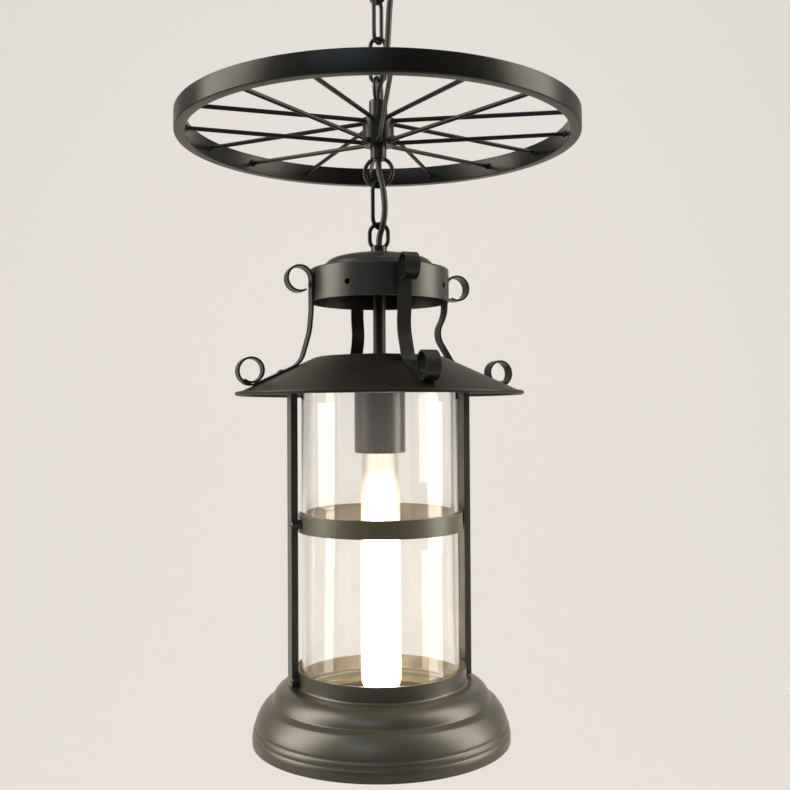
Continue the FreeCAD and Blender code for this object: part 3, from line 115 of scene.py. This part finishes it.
def shown(name, vertices, faces, sharp_degrees=SHARP_DEGREES):
    """A mesh object with soft shading that breaks only at sharp edges."""
    mesh = bpy.data.meshes.new(name)
    mesh.from_pydata([tuple(v) for v in vertices], [], faces)
    mesh.validate()
    work = bmesh.new()
    work.from_mesh(mesh)
    bmesh.ops.recalc_face_normals(work, faces=work.faces)
    limit = math.radians(sharp_degrees)
    for edge in work.edges:
        if len(edge.link_faces) == 2 and edge.calc_face_angle(0) > limit:
            edge.smooth = False
    for face in work.faces:
        face.smooth = True
    work.to_mesh(mesh)
    work.free()
    made = bpy.data.objects.new(name, mesh)
    bpy.context.scene.collection.objects.link(made)
    return made


def spun(name, outline, turns):
    """Turns a closed (radius, height) outline in millimetres about the upright axis."""
    vertices, faces, count = [], [], len(outline)
    for step in range(turns):
        angle = math.tau * step / turns
        for radius, height in outline:
            place = (radius * math.cos(angle), radius * math.sin(angle), height)
            vertices.append([c * MM for c in place])
    for step in range(turns):
        here, there = step * count, (step + 1) % turns * count
        for i in range(count):
            j = (i + 1) % count
            faces.append((here + i, there + i, there + j, here + j))
    return shown(name, vertices, faces)


def carried_frames(path):
    """A steady pair of side directions for each point of a path, with no sudden twist."""
    tangents = []
    for i in range(len(path)):
        before, after = path[max(i - 1, 0)], path[min(i + 1, len(path) - 1)]
        tangents.append((after - before).normalized())
    side = tangents[0].orthogonal().normalized()
    frames = []
    for tangent in tangents:
        side = (side - tangent * side.dot(tangent)).normalized()
        frames.append((side, tangent.cross(side)))
    return frames


def swept(name, path, section):
    """Carries a closed section along an open path of Vectors. Both are in metres."""
    vertices, faces, count, rows = [], [], len(section), len(path)
    for point, (side, rise) in zip(path, carried_frames(path)):
        vertices += [point + side * a + rise * b for a, b in section]
    for row in range(rows - 1):
        here, there = row * count, (row + 1) * count
        for i in range(count):
            j = (i + 1) % count
            faces.append((here + i, here + j, there + j, there + i))
    faces.append(tuple(range(count))[::-1])
    faces.append(tuple((rows - 1) * count + i for i in range(count)))
    return shown(name, vertices, faces)


def round_section(radius, sides=20):
    turns = [math.tau * i / sides for i in range(sides)]
    return [(radius * math.cos(t), radius * math.sin(t)) for t in turns]


def arc_between(start, end, radius, turn, pieces=14):
    """Points after start on the arc to end; turn is 1 where its centre lies left of the way."""
    chord = end - start
    left = Vector((-chord.y, chord.x)).normalized()
    centre = (start + end) / 2 + left * (turn * math.sqrt(max(radius**2 - chord.length**2 / 4, 0)))
    first, last = start - centre, end - centre
    sweep = first.angle_signed(last) * -1
    points = []
    for i in range(1, pieces + 1):
        turned = Matrix.Rotation(sweep * i / pieces, 2) @ first
        points.append(centre + turned)
    return points


def curved(corners, pieces=14):
    """A line of points from corners, each (radius, height) or, at the end of an arc, (radius,
    height, arc radius, turn)."""
    line = [Vector(corners[0][:2])]
    for corner in corners[1:]:
        place = Vector(corner[:2])
        if len(corner) == 2:
            line.append(place)
        else:
            line += arc_between(line[-1], place, corner[2], corner[3], pieces)
    return line


def sheet_outline(corners, wall, side, pieces=14):
    """The closed section of a sheet whose outer line is given; side is 1 where the sheet's inside
    lies left of the way along it, else -1."""
    outer = curved(corners, pieces)
    inner = []
    for i, point in enumerate(outer):
        steps = [j for j in (i - 1, i) if 0 <= j < len(outer) - 1]
        ways = [(outer[j + 1] - outer[j]).normalized() for j in steps]
        mean = sum(ways, Vector((0, 0))).normalized()
        normal = Vector((-mean.y, mean.x)) * side
        straight = Vector((-ways[0].y, ways[0].x)) * side
        inner.append(point + normal * (wall / max(normal.dot(straight), LEAST_MITRE)))
    return [tuple(p) for p in outer + inner[::-1]]


# %% [markdown]
# ## The cable
# A round black cable runs beside the chain, through the hollow hub of the wheel and on down to
# the lantern's neck. It is limp, so it hangs in one smooth line. A NURBS spline that follows a few
# control points gives that line. The long tube is made in stretches. Six of them cross a hinge,
# and each of those stays where it is made, attached to no body.

# %% Cable
CABLE_DIAMETER = 0.0048
UPPER_ROUTE = [
    (0.0175, -0.002, -0.037),
    (0.0175, -0.002, -0.046),
    (0.0134, -0.0036, -0.0615),
    (0.0096, -0.0032, -0.084),
    (0.0084, -0.0039, -0.1064),
    (0.0072, -0.0078, -0.12583),
    (0.0048, -0.0073, -0.14043),
    (0.0025, -0.0052, -0.14763),
    (0, 0, -0.15523),
    (0, 0, -0.16233),
]
LOWER_ROUTE = [
    (0, 0, -0.20933),
    (0, 0, -0.21513),
    (0.0009, -0.0021, -0.22143),
    (0.0033, -0.0071, -0.23103),
    (0.0049, -0.0101, -0.24653),
    (0.0044, -0.0079, -0.2562),
    (0.0027, -0.0045, -0.2631),
    (0, 0, -0.2707),
    (0, 0, -0.2772),
]
TAIL_ROUTE = [(0.0175, -0.002, -0.037), (0.0175, -0.002, -0.0145), (0.035, -0.002, -0.0145)]
HUB_ROUTE = [(0, 0, -0.16233), (0, 0, -0.20933)]
STEM_ROUTE = [(0, 0, -0.2772), (0, 0, -0.3792)]


def smooth_line(name, route):
    """Points along the NURBS spline that has the route as its control points."""
    curve = bpy.data.curves.new(name, "CURVE")
    curve.dimensions = "3D"
    curve.resolution_u = 16
    spline = curve.splines.new("NURBS")
    spline.points.add(len(route) - 1)
    for point, place in zip(spline.points, route):
        point.co = (*place, 1)
    spline.order_u = min(3, len(route))
    spline.use_endpoint_u = True
    holder = bpy.data.objects.new(name, curve)
    bpy.context.scene.collection.objects.link(holder)
    mesh = bpy.data.meshes.new_from_object(holder)
    line = [v.co.copy() for v in mesh.vertices]
    bpy.data.objects.remove(holder)
    bpy.data.curves.remove(curve)
    bpy.data.meshes.remove(mesh)
    return line


def cut_line(line, top, bottom):
    """The part of a falling line between two levels."""
    found = []
    for start, end in zip(line, line[1:]):
        for level in (top, bottom):
            if start.z > level > end.z:
                found.append(start.lerp(end, (start.z - level) / (start.z - end.z)))
        if top >= end.z >= bottom:
            found.append(end)
    if line[0].z <= top + 1e-6:
        found.insert(0, line[0])
    kept = []
    for point in sorted(found, key=lambda p: -p.z):
        if not kept or (point - kept[-1]).length > 1e-5:
            kept.append(point)
    return kept


def line_length(line):
    return sum((b - a).length for a, b in zip(line, line[1:]))


def cable_piece(node, line, body=None, hinge=None):
    tube = swept("flex_" + node, line, round_section(CABLE_DIAMETER / 2))
    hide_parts(node)
    if hinge:
        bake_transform(tube)
    else:
        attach(tube, body)
    line_length(line)
    print(tube.name, "length in mm:", round(line_length(line) / MM, 1))
    return tube


def middle_of(node):
    low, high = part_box(node)
    return (low.z + high.z) / 2


upper_line = smooth_line("upper_route", UPPER_ROUTE)
lower_line = smooth_line("lower_route", LOWER_ROUTE)
cable_pieces = []
link_middles = [middle_of(f"chain_link_{i}") for i in (1, 2, 3)]
upper_stops = [UPPER_ROUTE[0][2], *link_middles, UPPER_ROUTE[-1][2]]
for i, hinge in enumerate(("link_1_swing", "link_2_swing", "link_3_swing", "wheel_swing")):
    stretch = cut_line(upper_line, upper_stops[i], upper_stops[i + 1])
    cable_pieces.append(cable_piece(f"cable_upper_{i + 1}", stretch, hinge=hinge))
lower_stops = [LOWER_ROUTE[0][2], middle_of("drop_link"), LOWER_ROUTE[-1][2]]
for i, hinge in enumerate(("drop_swing", "lantern_swing")):
    stretch = cut_line(lower_line, lower_stops[i], lower_stops[i + 1])
    cable_pieces.append(cable_piece(f"cable_lower_{i + 1}", stretch, hinge=hinge))
for node, route, body in (
    ("cable_tail", TAIL_ROUTE, "ceiling"),
    ("cable_in_hub", HUB_ROUTE, "wheel"),
    ("cable_in_stem", STEM_ROUTE, "lantern"),
):
    cable_pieces.append(cable_piece(node, smooth_line(node + "_route", route), body))


# %% [markdown]
# ## Spun sheet, forged rim and glass
# The base, the roof, the rim and the two glasses are round from end to end, so each is turned
# from its section with many more facets than the CAD mesh has. Their outer sizes are read from
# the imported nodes, so they fill the same boxes. The base's groove and ledge are a little sharper
# than in the CAD piece.

# %% Round pieces
SHEET_WALL = 1.2
RIM_WIDTH = 8.6


def in_mm(node):
    low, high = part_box(node)
    return low / MM, high / MM


def swap_in(piece, node, body):
    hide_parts(node)
    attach(piece, body)
    return piece


def fine_base():
    """A collar in a tight groove, a round shoulder, a sloping ledge, a bulge with two pressed
    lines and a plain foot."""
    low, high = in_mm("base_bell")
    full, foot, top = high.x, low.z, high.z
    collar, collar_foot, ledge = 66.0, top - 12.6, top - 24.2
    corners = [
        (collar, top),
        (collar, collar_foot + 1.8),
        (collar + 1.8, collar_foot, 1.9, 1),
        (84.6, ledge, 14.9, -1),
        (85.3, ledge - 0.8, 1.2, 1),
        (89.3, ledge - 2.9),
        (90.3, ledge - 3.7, 4.0, -1),
        (full - 2.3, foot + 14.6, 31.5, -1),
        (full - 1.7, foot + 12.9, 1.6, 1),
        (full - 0.9, foot + 9.9, 6.0, -1),
        (full - 0.6, foot + 8.2, 1.6, 1),
        (full, foot + 4.6, 9.0, -1),
        (full, foot),
    ]
    outline = sheet_outline(corners, SHEET_WALL, -1, 10)
    return swap_in(spun("spun_base", outline, 256), "base_bell", "lantern")


def fine_roof():
    """A flat crown, a soft shoulder, a straight slope and a rolled lip."""
    low, high = in_mm("roof")
    lip, bore, seat, flat, shoulder, crown = 1.6, 4.95, 10.0, 49.5, 16.0, 2.5
    full = high.x
    edge, top = low.z + lip + SHEET_WALL / 2, high.z - crown
    slope = (top - edge) / (full - lip - flat)
    lean = math.hypot(1, slope)
    back = shoulder * math.tan(math.atan(slope) / 2)
    corners = [
        (bore, high.z),
        (seat, high.z),
        (flat - back, top),
        (flat + back / lean, top - back * slope / lean, shoulder, -1),
        (full - lip, edge),
    ]
    outline = sheet_outline(corners, SHEET_WALL, -1)
    sheet = spun("roof_sheet", outline, 256)
    ring = [(full - lip + x, edge - SHEET_WALL / 2 + y) for x, y in round_section(lip)]
    lip_ring = spun("roof_lip", ring, 256)
    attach(lip_ring, "lantern")
    return swap_in(sheet, "roof", "lantern"), lip_ring


def fine_glass():
    """A drawn glass tube with fire-polished edges."""
    low, high = in_mm("glass_cylinder")
    full, wall, soft = high.x, 3.0, 1.1
    inner = full - wall
    corners = [
        (full, low.z + soft),
        (full, high.z - soft),
        (full - soft, high.z, soft, 1),
        (inner + soft, high.z),
        (inner, high.z - soft, soft, 1),
        (inner, low.z + soft),
        (inner + soft, low.z, soft, 1),
        (full - soft, low.z),
        (full, low.z + soft, soft, 1),
    ]
    outline = [tuple(p) for p in curved(corners, 5)][:-1]
    return swap_in(spun("drawn_glass", outline, 256), "glass_cylinder", "lantern")


def fine_bulb():
    """The long envelope: a short neck, a gentle shoulder, straight sides and a round end."""
    low, high = in_mm("bulb_glass")
    neck, full, wall = 12.4, high.x, 0.8
    corners = [
        (neck, high.z),
        (neck + 0.2, high.z - 12.0),
        (full - 0.6, high.z - 40.0, 150.0, -1),
        (full, high.z - 54.0, 170.0, -1),
        (full, low.z + full),
        (0.3, low.z, full, -1),
    ]
    outline = sheet_outline(corners, wall, -1, 20)
    return swap_in(spun("long_envelope", outline, 128), "bulb_glass", "bulb")


def fine_rim():
    """A rolled iron bar, welded to a hoop, with softly broken edges."""
    low, high = in_mm("wheel_rim")
    full, soft = high.x, 1.0
    inner = full - RIM_WIDTH
    corners = [
        (inner + soft, low.z),
        (full - soft, low.z),
        (full, low.z + soft, soft, 1),
        (full, high.z - soft),
        (full - soft, high.z, soft, 1),
        (inner + soft, high.z),
        (inner, high.z - soft, soft, 1),
        (inner, low.z + soft),
        (inner + soft, low.z, soft, 1),
    ]
    outline = [tuple(p) for p in curved(corners, 6)][:-1]
    return swap_in(spun("rolled_rim", outline, 320), "wheel_rim", "wheel")


fine_pieces = [fine_base(), *fine_roof(), fine_glass(), fine_bulb(), fine_rim()]

# %% [markdown]
# ## Welds
# Each spoke is welded into the rim and the hub. A small uneven bead of weld sits at both ends,
# squashed along the rod, and the paint has run over it.

# %% Weld beads
SPOKES, FIRST_SPOKE = 16, 3.5
SPOKE_OFFSET = 8.4  # of the two layers from the hub's middle, in mm as are all sizes here
SPOKE_DEPTH = 3.0
HUB_BEAD_OUT = 3.2
HUB_BEAD, RIM_BEAD = (2.5, 0.42), (3.2, 0.5)  # radius, and length over radius


def spoke_ends(index):
    """Where a spoke leaves the hub's side and where it meets the rim, in metres."""
    turn = math.radians(FIRST_SPOKE + index * 360 / SPOKES)
    way = Vector((math.sin(turn), -math.cos(turn), 0))
    hub_low, hub_high = in_mm("wheel_hub")
    rim_low, rim_high = in_mm("wheel_rim")
    level = (hub_low.z + hub_high.z) / 2 + (SPOKE_OFFSET if index % 2 else -SPOKE_OFFSET)
    start = way * (hub_high.x - SPOKE_DEPTH) + Vector((0, 0, level))
    end = way * (rim_high.x - RIM_WIDTH) + Vector((0, 0, (rim_low.z + rim_high.z) / 2))
    along = (end - start).normalized()
    return (start + along * HUB_BEAD_OUT) * MM, end * MM, along


def weld_beads():
    random = np.random.default_rng(7)
    vertices, faces = [], []
    rings, sides = 7, 14
    for index in range(SPOKES):
        near_hub, near_rim, along = spoke_ends(index)
        side = along.orthogonal().normalized()
        rise = along.cross(side)
        for place, radius, flat in ((near_hub, *HUB_BEAD), (near_rim, *RIM_BEAD)):
            base = len(vertices)
            uneven = random.uniform(0.9, 1.1, sides)
            for ring in range(rings):
                angle = math.pi * (ring + 0.5) / rings
                for i in range(sides):
                    turn = math.tau * i / sides
                    size = radius * MM * uneven[i] * math.sin(angle)
                    lift = radius * MM * flat * math.cos(angle)
                    x, y = size * math.cos(turn), size * math.sin(turn)
                    vertices.append(place + along * lift + side * x + rise * y)
            for ring in range(rings - 1):
                here = base + ring * sides
                for i in range(sides):
                    j = (i + 1) % sides
                    faces.append((here + i, here + j, here + sides + j, here + sides + i))
            faces.append(tuple(base + i for i in range(sides))[::-1])
            faces.append(tuple(base + (rings - 1) * sides + i for i in range(sides)))
    beads = shown("spoke_welds", vertices, faces, 60)
    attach(beads, "wheel")
    return beads


welds = weld_beads()

# %% [markdown]
# ## Shader maths
# Each finish below is worked out from a few noise patterns. Written as Blender nodes by hand,
# even a sum is three lines, so a small class wraps a socket and gives it Python's operators.


# %% Shader helpers
class Wave:
    """A number that changes over the surface. Each operator adds the Math node that it names."""

    def __init__(self, paint, socket):
        self.paint = paint
        self.socket = socket

    def math(self, operation, first, second):
        return self.paint.node("ShaderNodeMath", {"operation": operation}, {0: first, 1: second})

    def __add__(self, other):
        return self.math("ADD", self, other)

    def __sub__(self, other):
        return self.math("SUBTRACT", self, other)

    def __mul__(self, other):
        return self.math("MULTIPLY", self, other)

    def __rsub__(self, other):
        return self.math("SUBTRACT", other, self)

    __radd__ = __add__
    __rmul__ = __mul__


class Paint:
    """A material under construction, with its Principled shader already in place."""

    def __init__(self, name, **constants):
        self.material = bpy.data.materials.new(name)
        self.material.use_nodes = True
        self.tree = self.material.node_tree
        self.tree.nodes.clear()
        self.output = self.tree.nodes.new("ShaderNodeOutputMaterial")
        self.shader = self.tree.nodes.new("ShaderNodeBsdfPrincipled")
        self.tree.links.new(self.shader.outputs[0], self.output.inputs["Surface"])
        self.place = self.node("ShaderNodeTexCoord", output="Object")
        self.set(**constants)

    def set(self, **values):
        for key, value in values.items():
            self.join(self.shader.inputs[key.replace("_", " ")], value)

    def join(self, socket, value):
        if isinstance(value, Wave):
            self.tree.links.new(value.socket, socket)
        elif isinstance(value, (tuple, list)) and len(value) < len(socket.default_value):
            socket.default_value = (*value, 1)
        else:
            socket.default_value = value

    def node(self, kind, settings=None, inputs=None, output=0):
        made = self.tree.nodes.new(kind)
        for key, value in (settings or {}).items():
            setattr(made, key, value)
        for key, value in (inputs or {}).items():
            self.join(made.inputs[key], value)
        return Wave(self, made.outputs[output])

    def noise(self, scale, detail=3.0, place=None):
        inputs = {"Vector": place or self.place, "Scale": scale, "Detail": detail, "Roughness": 0.55}
        return self.node("ShaderNodeTexNoise", inputs=inputs)

    def range(self, value, low, high):
        """0 where the value is low, 1 where it is high, and even between."""
        inputs = {"Value": value, "From Min": low, "From Max": high, "To Min": 0.0, "To Max": 1.0}
        return self.node("ShaderNodeMapRange", inputs=inputs)

    def mix(self, factor, first, second):
        inputs = {0: factor, 6: first, 7: second}
        return self.node("ShaderNodeMix", {"data_type": "RGBA"}, inputs, output=2)

    def bump(self, height, depth):
        inputs = {"Height": height, "Distance": depth, "Strength": 1.0}
        return self.node("ShaderNodeBump", inputs=inputs)

    def glow_over(self, share, glow):
        """Shows the glow in place of the surface, as far as share says."""
        surface = Wave(self, self.shader.outputs[0])
        both = self.node("ShaderNodeMixShader", {}, {0: share, 1: surface, 2: glow})
        self.tree.links.new(both.socket, self.output.inputs["Surface"])


# %% [markdown]
# ## Black paint on iron and sheet
# The lamp wears a satin black paint, baked on, which looks a little olive on the base. The band's paler
# olive tone is painted glare of the bulb's light. Up close it has a fine orange peel, uneven gloss, soft
# paler patches and specks of dust.
# The wheel keeps the hammer's soft dents below it. One function mixes this from noise of several
# sizes, and each piece gets its own amounts.


# %% Paint finishes
DUST, DUST_COLOUR = 0.10, (0.16, 0.15, 0.13)
PEEL = 0.00001
DENT_SCALE = 60


def black_paint(name, dark, pale, gloss, shine=0.5, coat=0.0, dents=0.0):
    """gloss is the middle roughness, shine the specular level, coat the weight of the clear layer
    over the colour and dents their depth in metres."""
    paint = Paint(name, Specular_IOR_Level=shine, Coat_Roughness=gloss - 0.06, Coat_Weight=coat)
    broad = paint.noise(9, 4)
    fine = paint.noise(160, 3)
    grain = paint.noise(900, 2)
    patches = paint.range(broad, 0.38, 0.68)
    specks = paint.range(grain, 0.62, 0.72)
    tone = paint.mix(patches * 0.8 + fine * 0.2, dark, pale)
    greyed = paint.mix(specks * DUST, tone, DUST_COLOUR)
    peel = fine * 0.6 + grain * 0.4
    paint.set(
        Base_Color=greyed,
        Roughness=patches * 0.10 + fine * 0.10 + (gloss - 0.10),
        Normal=paint.bump(peel + paint.noise(DENT_SCALE, 2) * (dents / PEEL), PEEL),
    )
    return paint.material


PAINTS = {  # name, dark and pale tone, gloss, shine, coat, dents
    "canopy_paint": ("satin_black_canopy", (0.012, 0.012, 0.011), (0.020, 0.019, 0.017), 0.34),
    "chain_paint": ("satin_black_chain", (0.005, 0.005, 0.005), (0.012, 0.011, 0.010), 0.32, 0.35),
    "wheel_paint": (
        "forged_black_wheel", (0.004, 0.004, 0.004), (0.009, 0.009, 0.008), 0.31, 0.22, 0.0, 0.00010
    ),
    "sheet_paint": ("satin_black_sheet", (0.009, 0.007, 0.005), (0.017, 0.013, 0.009), 0.46, 0.25),
    "cap_paint": ("satin_black_cap", (0.008, 0.008, 0.008), (0.015, 0.014, 0.012), 0.42, 0.45, 0.2),
    "strap_paint": ("satin_black_strap", (0.006, 0.006, 0.005), (0.014, 0.013, 0.010), 0.38, 0.35),
    "bar_paint": ("satin_black_bar", (0.014, 0.014, 0.011), (0.024, 0.023, 0.018), 0.34, 0.5, 0.5),
    "cup_paint": ("satin_black_cup", (0.018, 0.017, 0.014), (0.028, 0.026, 0.022), 0.42, 0.5, 0.6),
    "base_paint": ("satin_olive_base", (0.026, 0.023, 0.012), (0.040, 0.035, 0.020), 0.43, 0.5, 0.7),
    # The band's paler tone is painted glare: it stands in for the bulb's light and glare on the band,
    # over the same black paint.
    "band_paint": ("satin_olive_band", (0.060, 0.052, 0.032), (0.085, 0.075, 0.048), 0.42, 0.5, 0.5),
}
finishes = {slot: black_paint(*row) for slot, row in PAINTS.items()}


def plain_metal(name, colour, roughness):
    paint = Paint(name, Metallic=1.0)
    fine = paint.noise(220, 3)
    paint.set(
        Base_Color=paint.mix(fine, [c * 0.8 for c in colour], colour),
        Roughness=fine * 0.15 + roughness,
        Normal=paint.bump(fine, 0.00003),
    )
    return paint.material


def moulded(name, colour, roughness):
    paint = Paint(name)
    fine = paint.noise(420, 3)
    paint.set(
        Base_Color=paint.mix(fine, [c * 0.86 for c in colour], colour),
        Roughness=fine * 0.12 + roughness,
        Normal=paint.bump(fine, 0.00002),
    )
    return paint.material


finishes["galvanised_steel"] = plain_metal("zinc_plate", (0.55, 0.56, 0.57), 0.38)
finishes["bulb_brass"] = plain_metal("pressed_brass", (0.72, 0.56, 0.28), 0.3)
finishes["holder_body"] = moulded("holder_black", (0.03, 0.03, 0.03), 0.5)
finishes["block_body"] = moulded("block_white", (0.80, 0.80, 0.77), 0.45)
finishes["grip_body"] = moulded("grip_black", (0.02, 0.02, 0.02), 0.35)
finishes["gasket"] = moulded("gasket_grey", (0.07, 0.07, 0.07), 0.75)
finishes["cable_jacket"] = moulded("cable_black", (0.012, 0.012, 0.012), 0.42)


# The glass's warm glow near the bulb is painted light: an emission standing in for the bulb's light on
# the glass.
PAINTED_GLOW_TOP, PAINTED_GLOW_FOOT = (-0.40, -0.52), (-0.66, -0.57)  # levels where its glow begins and is full
FILL_LEVELS = (-0.452, -0.530)  # where the bulb's light begins and is full
NECK_SHARE, CORE_SHARE, EDGE_SHARE = 0.006, 0.55, 0.022
BULB_STRENGTH, FILAMENT_STRENGTH = 55.0, 60.0


def clear_glass():
    """Clear drawn glass. Its surface wavers a little along its length, and a painted warm glow, patchy
    from noise, stands in for the bulb's light on the glass, most of all at the middle of the bulb."""
    tint = (1.0, 0.995, 0.985)
    paint = Paint("clear_drawn_glass", Transmission_Weight=1.0, IOR=1.46, Base_Color=tint)
    lengthwise = {"Vector": paint.place, "Scale": (1.0, 1.0, 0.08)}
    stretched = paint.node("ShaderNodeMapping", {}, lengthwise)
    height = paint.node("ShaderNodeSeparateXYZ", {}, {"Vector": paint.place}, output=2)
    near_bulb = paint.range(height, *PAINTED_GLOW_TOP) * paint.range(height, *PAINTED_GLOW_FOOT)
    # Painted glow: a patchy emission near the bulb, standing in for the bulb's light caught on the glass.
    painted_glow = near_bulb * (paint.range(paint.noise(26, 4), 0.35, 0.75) * 0.7 + 0.3)
    paint.set(
        Roughness=0.0,
        Normal=paint.bump(paint.noise(70, 2, place=stretched), 0.00006),
        Emission_Strength=0.045,
        Emission_Color=paint.mix(painted_glow, (0, 0, 0), (1.0, 0.66, 0.34)),
    )
    return paint.material


def glowing(name, colour, strength):
    paint = Paint(name, Emission_Strength=strength)
    uneven = paint.mix(paint.noise(300), colour, (1, 0.9, 0.7))
    paint.set(Base_Color=(0.9, 0.7, 0.4), Emission_Color=uneven)
    return paint.material


def lit_envelope():
    """Thin bulb glass full of its own light: white and blinding where seen square on, a warm
    fringe at its sides, and dimmer in the neck above the filament."""
    paint = Paint("lit_bulb_glass", Transmission_Weight=1.0, IOR=1.2, Roughness=0.05)
    square_on = 1 - paint.node("ShaderNodeLayerWeight", {}, {"Blend": 0.5}, output="Facing")
    core = paint.range(square_on, 0.20, 0.90)
    tint = paint.mix(core, (1.0, 0.46, 0.13), (1.0, 0.80, 0.50))
    glow = paint.node("ShaderNodeEmission", {}, {"Color": tint, "Strength": BULB_STRENGTH})
    height = paint.node("ShaderNodeSeparateXYZ", {}, {"Vector": paint.place}, output=2)
    filled = paint.range(height, *FILL_LEVELS)
    bright = core * core
    share = (filled * filled + NECK_SHARE) * (bright * bright * CORE_SHARE + EDGE_SHARE)
    paint.glow_over(share, glow)
    return paint.material


finishes["clear_glass"] = clear_glass()
finishes["bulb_envelope"] = lit_envelope()
finishes["filament"] = glowing("hot_filament", (1.0, 0.62, 0.25), FILAMENT_STRENGTH)

slots = {s["node"]: s["material_slot"] for s in frame["record"]["subparts"]}


def dress(piece, finish):
    piece.data.materials.clear()
    piece.data.materials.append(finishes[finish])


OWN_FINISH = {
    "cap": "cap_paint",
    "glass_band": "band_paint",
    "side_bar_left": "bar_paint",
    "side_bar_right": "bar_paint",
    "band_screws": "bar_paint",
    "foot_screws": "bar_paint",
    "bar_spacers": "bar_paint",
    "socket_cup": "cup_paint",
}
for node, piece in nodes.items():
    dress(piece, OWN_FINISH.get(node, slots[node]))
for piece in cable_pieces:
    dress(piece, "cable_jacket")
fine_finishes = (
    "base_paint", "sheet_paint", "sheet_paint", "clear_glass", "bulb_envelope", "wheel_paint"
)
for piece, finish in zip(fine_pieces, fine_finishes):
    dress(piece, finish)
dress(welds, "wheel_paint")

# %% [markdown]
# ## Floor, backdrop and light
# A plain pale sweep stands well behind and below. A satin black paint shows little but the shapes
# that it mirrors, so the light comes from two tall soft panels, one at each side: they draw the
# long bright bands down both flanks of every round piece and leave the middle dark. A weak cool
# panel in front keeps the middle readable. The backdrop's paleness is its own colour, shown as it
# is to the camera and through glass, and weakly to what the paint mirrors, so it needs no light.

# %% Stage
BACKDROP = (0.80, 0.765, 0.72)
OWN_LIGHT = 0.86  # how far the backdrop shows its own colour instead of the light on it
MIRRORED_BACKDROP, MIRRORED_WORLD = 0.22, 0.08  # shares that the paint mirrors
WORLD_FILL = 0.10
PANEL_WARMTH, PANEL_COOLNESS = (1.0, 0.93, 0.77), (0.74, 0.86, 1.0)


def pale_backdrop():
    paint = Paint("pale_floor", Roughness=0.9)
    clouds = paint.noise(1.3, 2)
    colour = paint.mix(clouds, [c * 0.97 for c in BACKDROP], BACKDROP)
    paint.set(Base_Color=colour)
    own = paint.node("ShaderNodeEmission", {}, {"Color": BACKDROP, "Strength": 1.0})
    camera_ray, glossy_ray, glass_ray = (
        paint.node("ShaderNodeLightPath", output=f"Is {kind} Ray")
        for kind in ("Camera", "Glossy", "Transmission")
    )
    seen = paint.node("ShaderNodeClamp", {}, {0: camera_ray + glossy_ray * MIRRORED_BACKDROP + glass_ray})
    paint.glow_over(seen * OWN_LIGHT, own)
    return paint.material


def make_sweep():
    """A floor that curves up into a backdrop."""
    floor_level, back, front, radius, half_width, top = -1.25, 1.6, -3.2, 0.9, 3.4, 2.6
    line = [(front, floor_level), (back - radius, floor_level)]
    for i in range(1, 25):
        turn = math.pi / 2 * i / 24
        along, rise = radius * math.sin(turn), radius * (1 - math.cos(turn))
        line.append((back - radius + along, floor_level + rise))
    line.append((back, top))
    vertices = [(x, y, z) for y, z in line for x in (-half_width, half_width)]
    faces = [(2 * i, 2 * i + 1, 2 * i + 3, 2 * i + 2) for i in range(len(line) - 1)]
    sweep = shown("pale_sweep", vertices, faces, 180)
    sweep.data.materials.append(pale_backdrop())
    return sweep


def light_panel(name, place, aim, size, power, colour=(1, 1, 1)):
    data = bpy.data.lights.new(name, "AREA")
    data.shape = "RECTANGLE"
    data.size, data.size_y = size
    data.energy = power
    data.color = colour
    lamp = bpy.data.objects.new(name, data)
    lamp.location = place
    lamp.rotation_mode = "QUATERNION"
    lamp.rotation_quaternion = (Vector(aim) - Vector(place)).to_track_quat("-Z", "Y")
    bpy.context.scene.collection.objects.link(lamp)


make_sweep()
light_panel("left_panel", (-1.20, -0.15, 0.10), (0, 0, -0.40), (0.8, 1.5), 28, PANEL_WARMTH)
light_panel("right_panel", (1.20, -0.10, 0.05), (0, 0, -0.40), (0.7, 1.7), 27, PANEL_WARMTH)
light_panel("front_panel", (-0.7, -2.0, 1.0), (0, 0, -0.35), (1.3, 1.0), 9, PANEL_COOLNESS)
light_panel("top_panel", (0.1, 0.1, 1.3), (0, 0, -0.3), (1.2, 1.2), 6)


def studio_world():
    """A weak even fill. The camera and the glass see it as pale as the backdrop from any side."""
    world = bpy.data.worlds.new("studio")
    world.use_nodes = True
    tree = world.node_tree
    fill_light = tree.nodes["Background"]
    fill_light.inputs[0].default_value = (0.95, 0.93, 0.90, 1)
    fill_light.inputs[1].default_value = WORLD_FILL
    pale = tree.nodes.new("ShaderNodeBackground")
    pale.inputs[0].default_value = (*BACKDROP, 1)
    pale.inputs[1].default_value = 1.0
    rays = tree.nodes.new("ShaderNodeLightPath")
    share = 0
    for kind, amount in (("Camera", 1.0), ("Transmission", 1.0), ("Glossy", MIRRORED_WORLD)):
        part = tree.nodes.new("ShaderNodeMath")
        part.operation = "MULTIPLY_ADD"
        part.use_clamp = True
        tree.links.new(rays.outputs[f"Is {kind} Ray"], part.inputs[0])
        part.inputs[1].default_value = amount
        if share:
            tree.links.new(share, part.inputs[2])
        else:
            part.inputs[2].default_value = 0
        share = part.outputs[0]
    both = tree.nodes.new("ShaderNodeMixShader")
    tree.links.new(share, both.inputs[0])
    tree.links.new(fill_light.outputs[0], both.inputs[1])
    tree.links.new(pale.outputs[0], both.inputs[2])
    tree.links.new(both.outputs[0], tree.nodes["World Output"].inputs["Surface"])
    bpy.context.scene.world = world


studio_world()
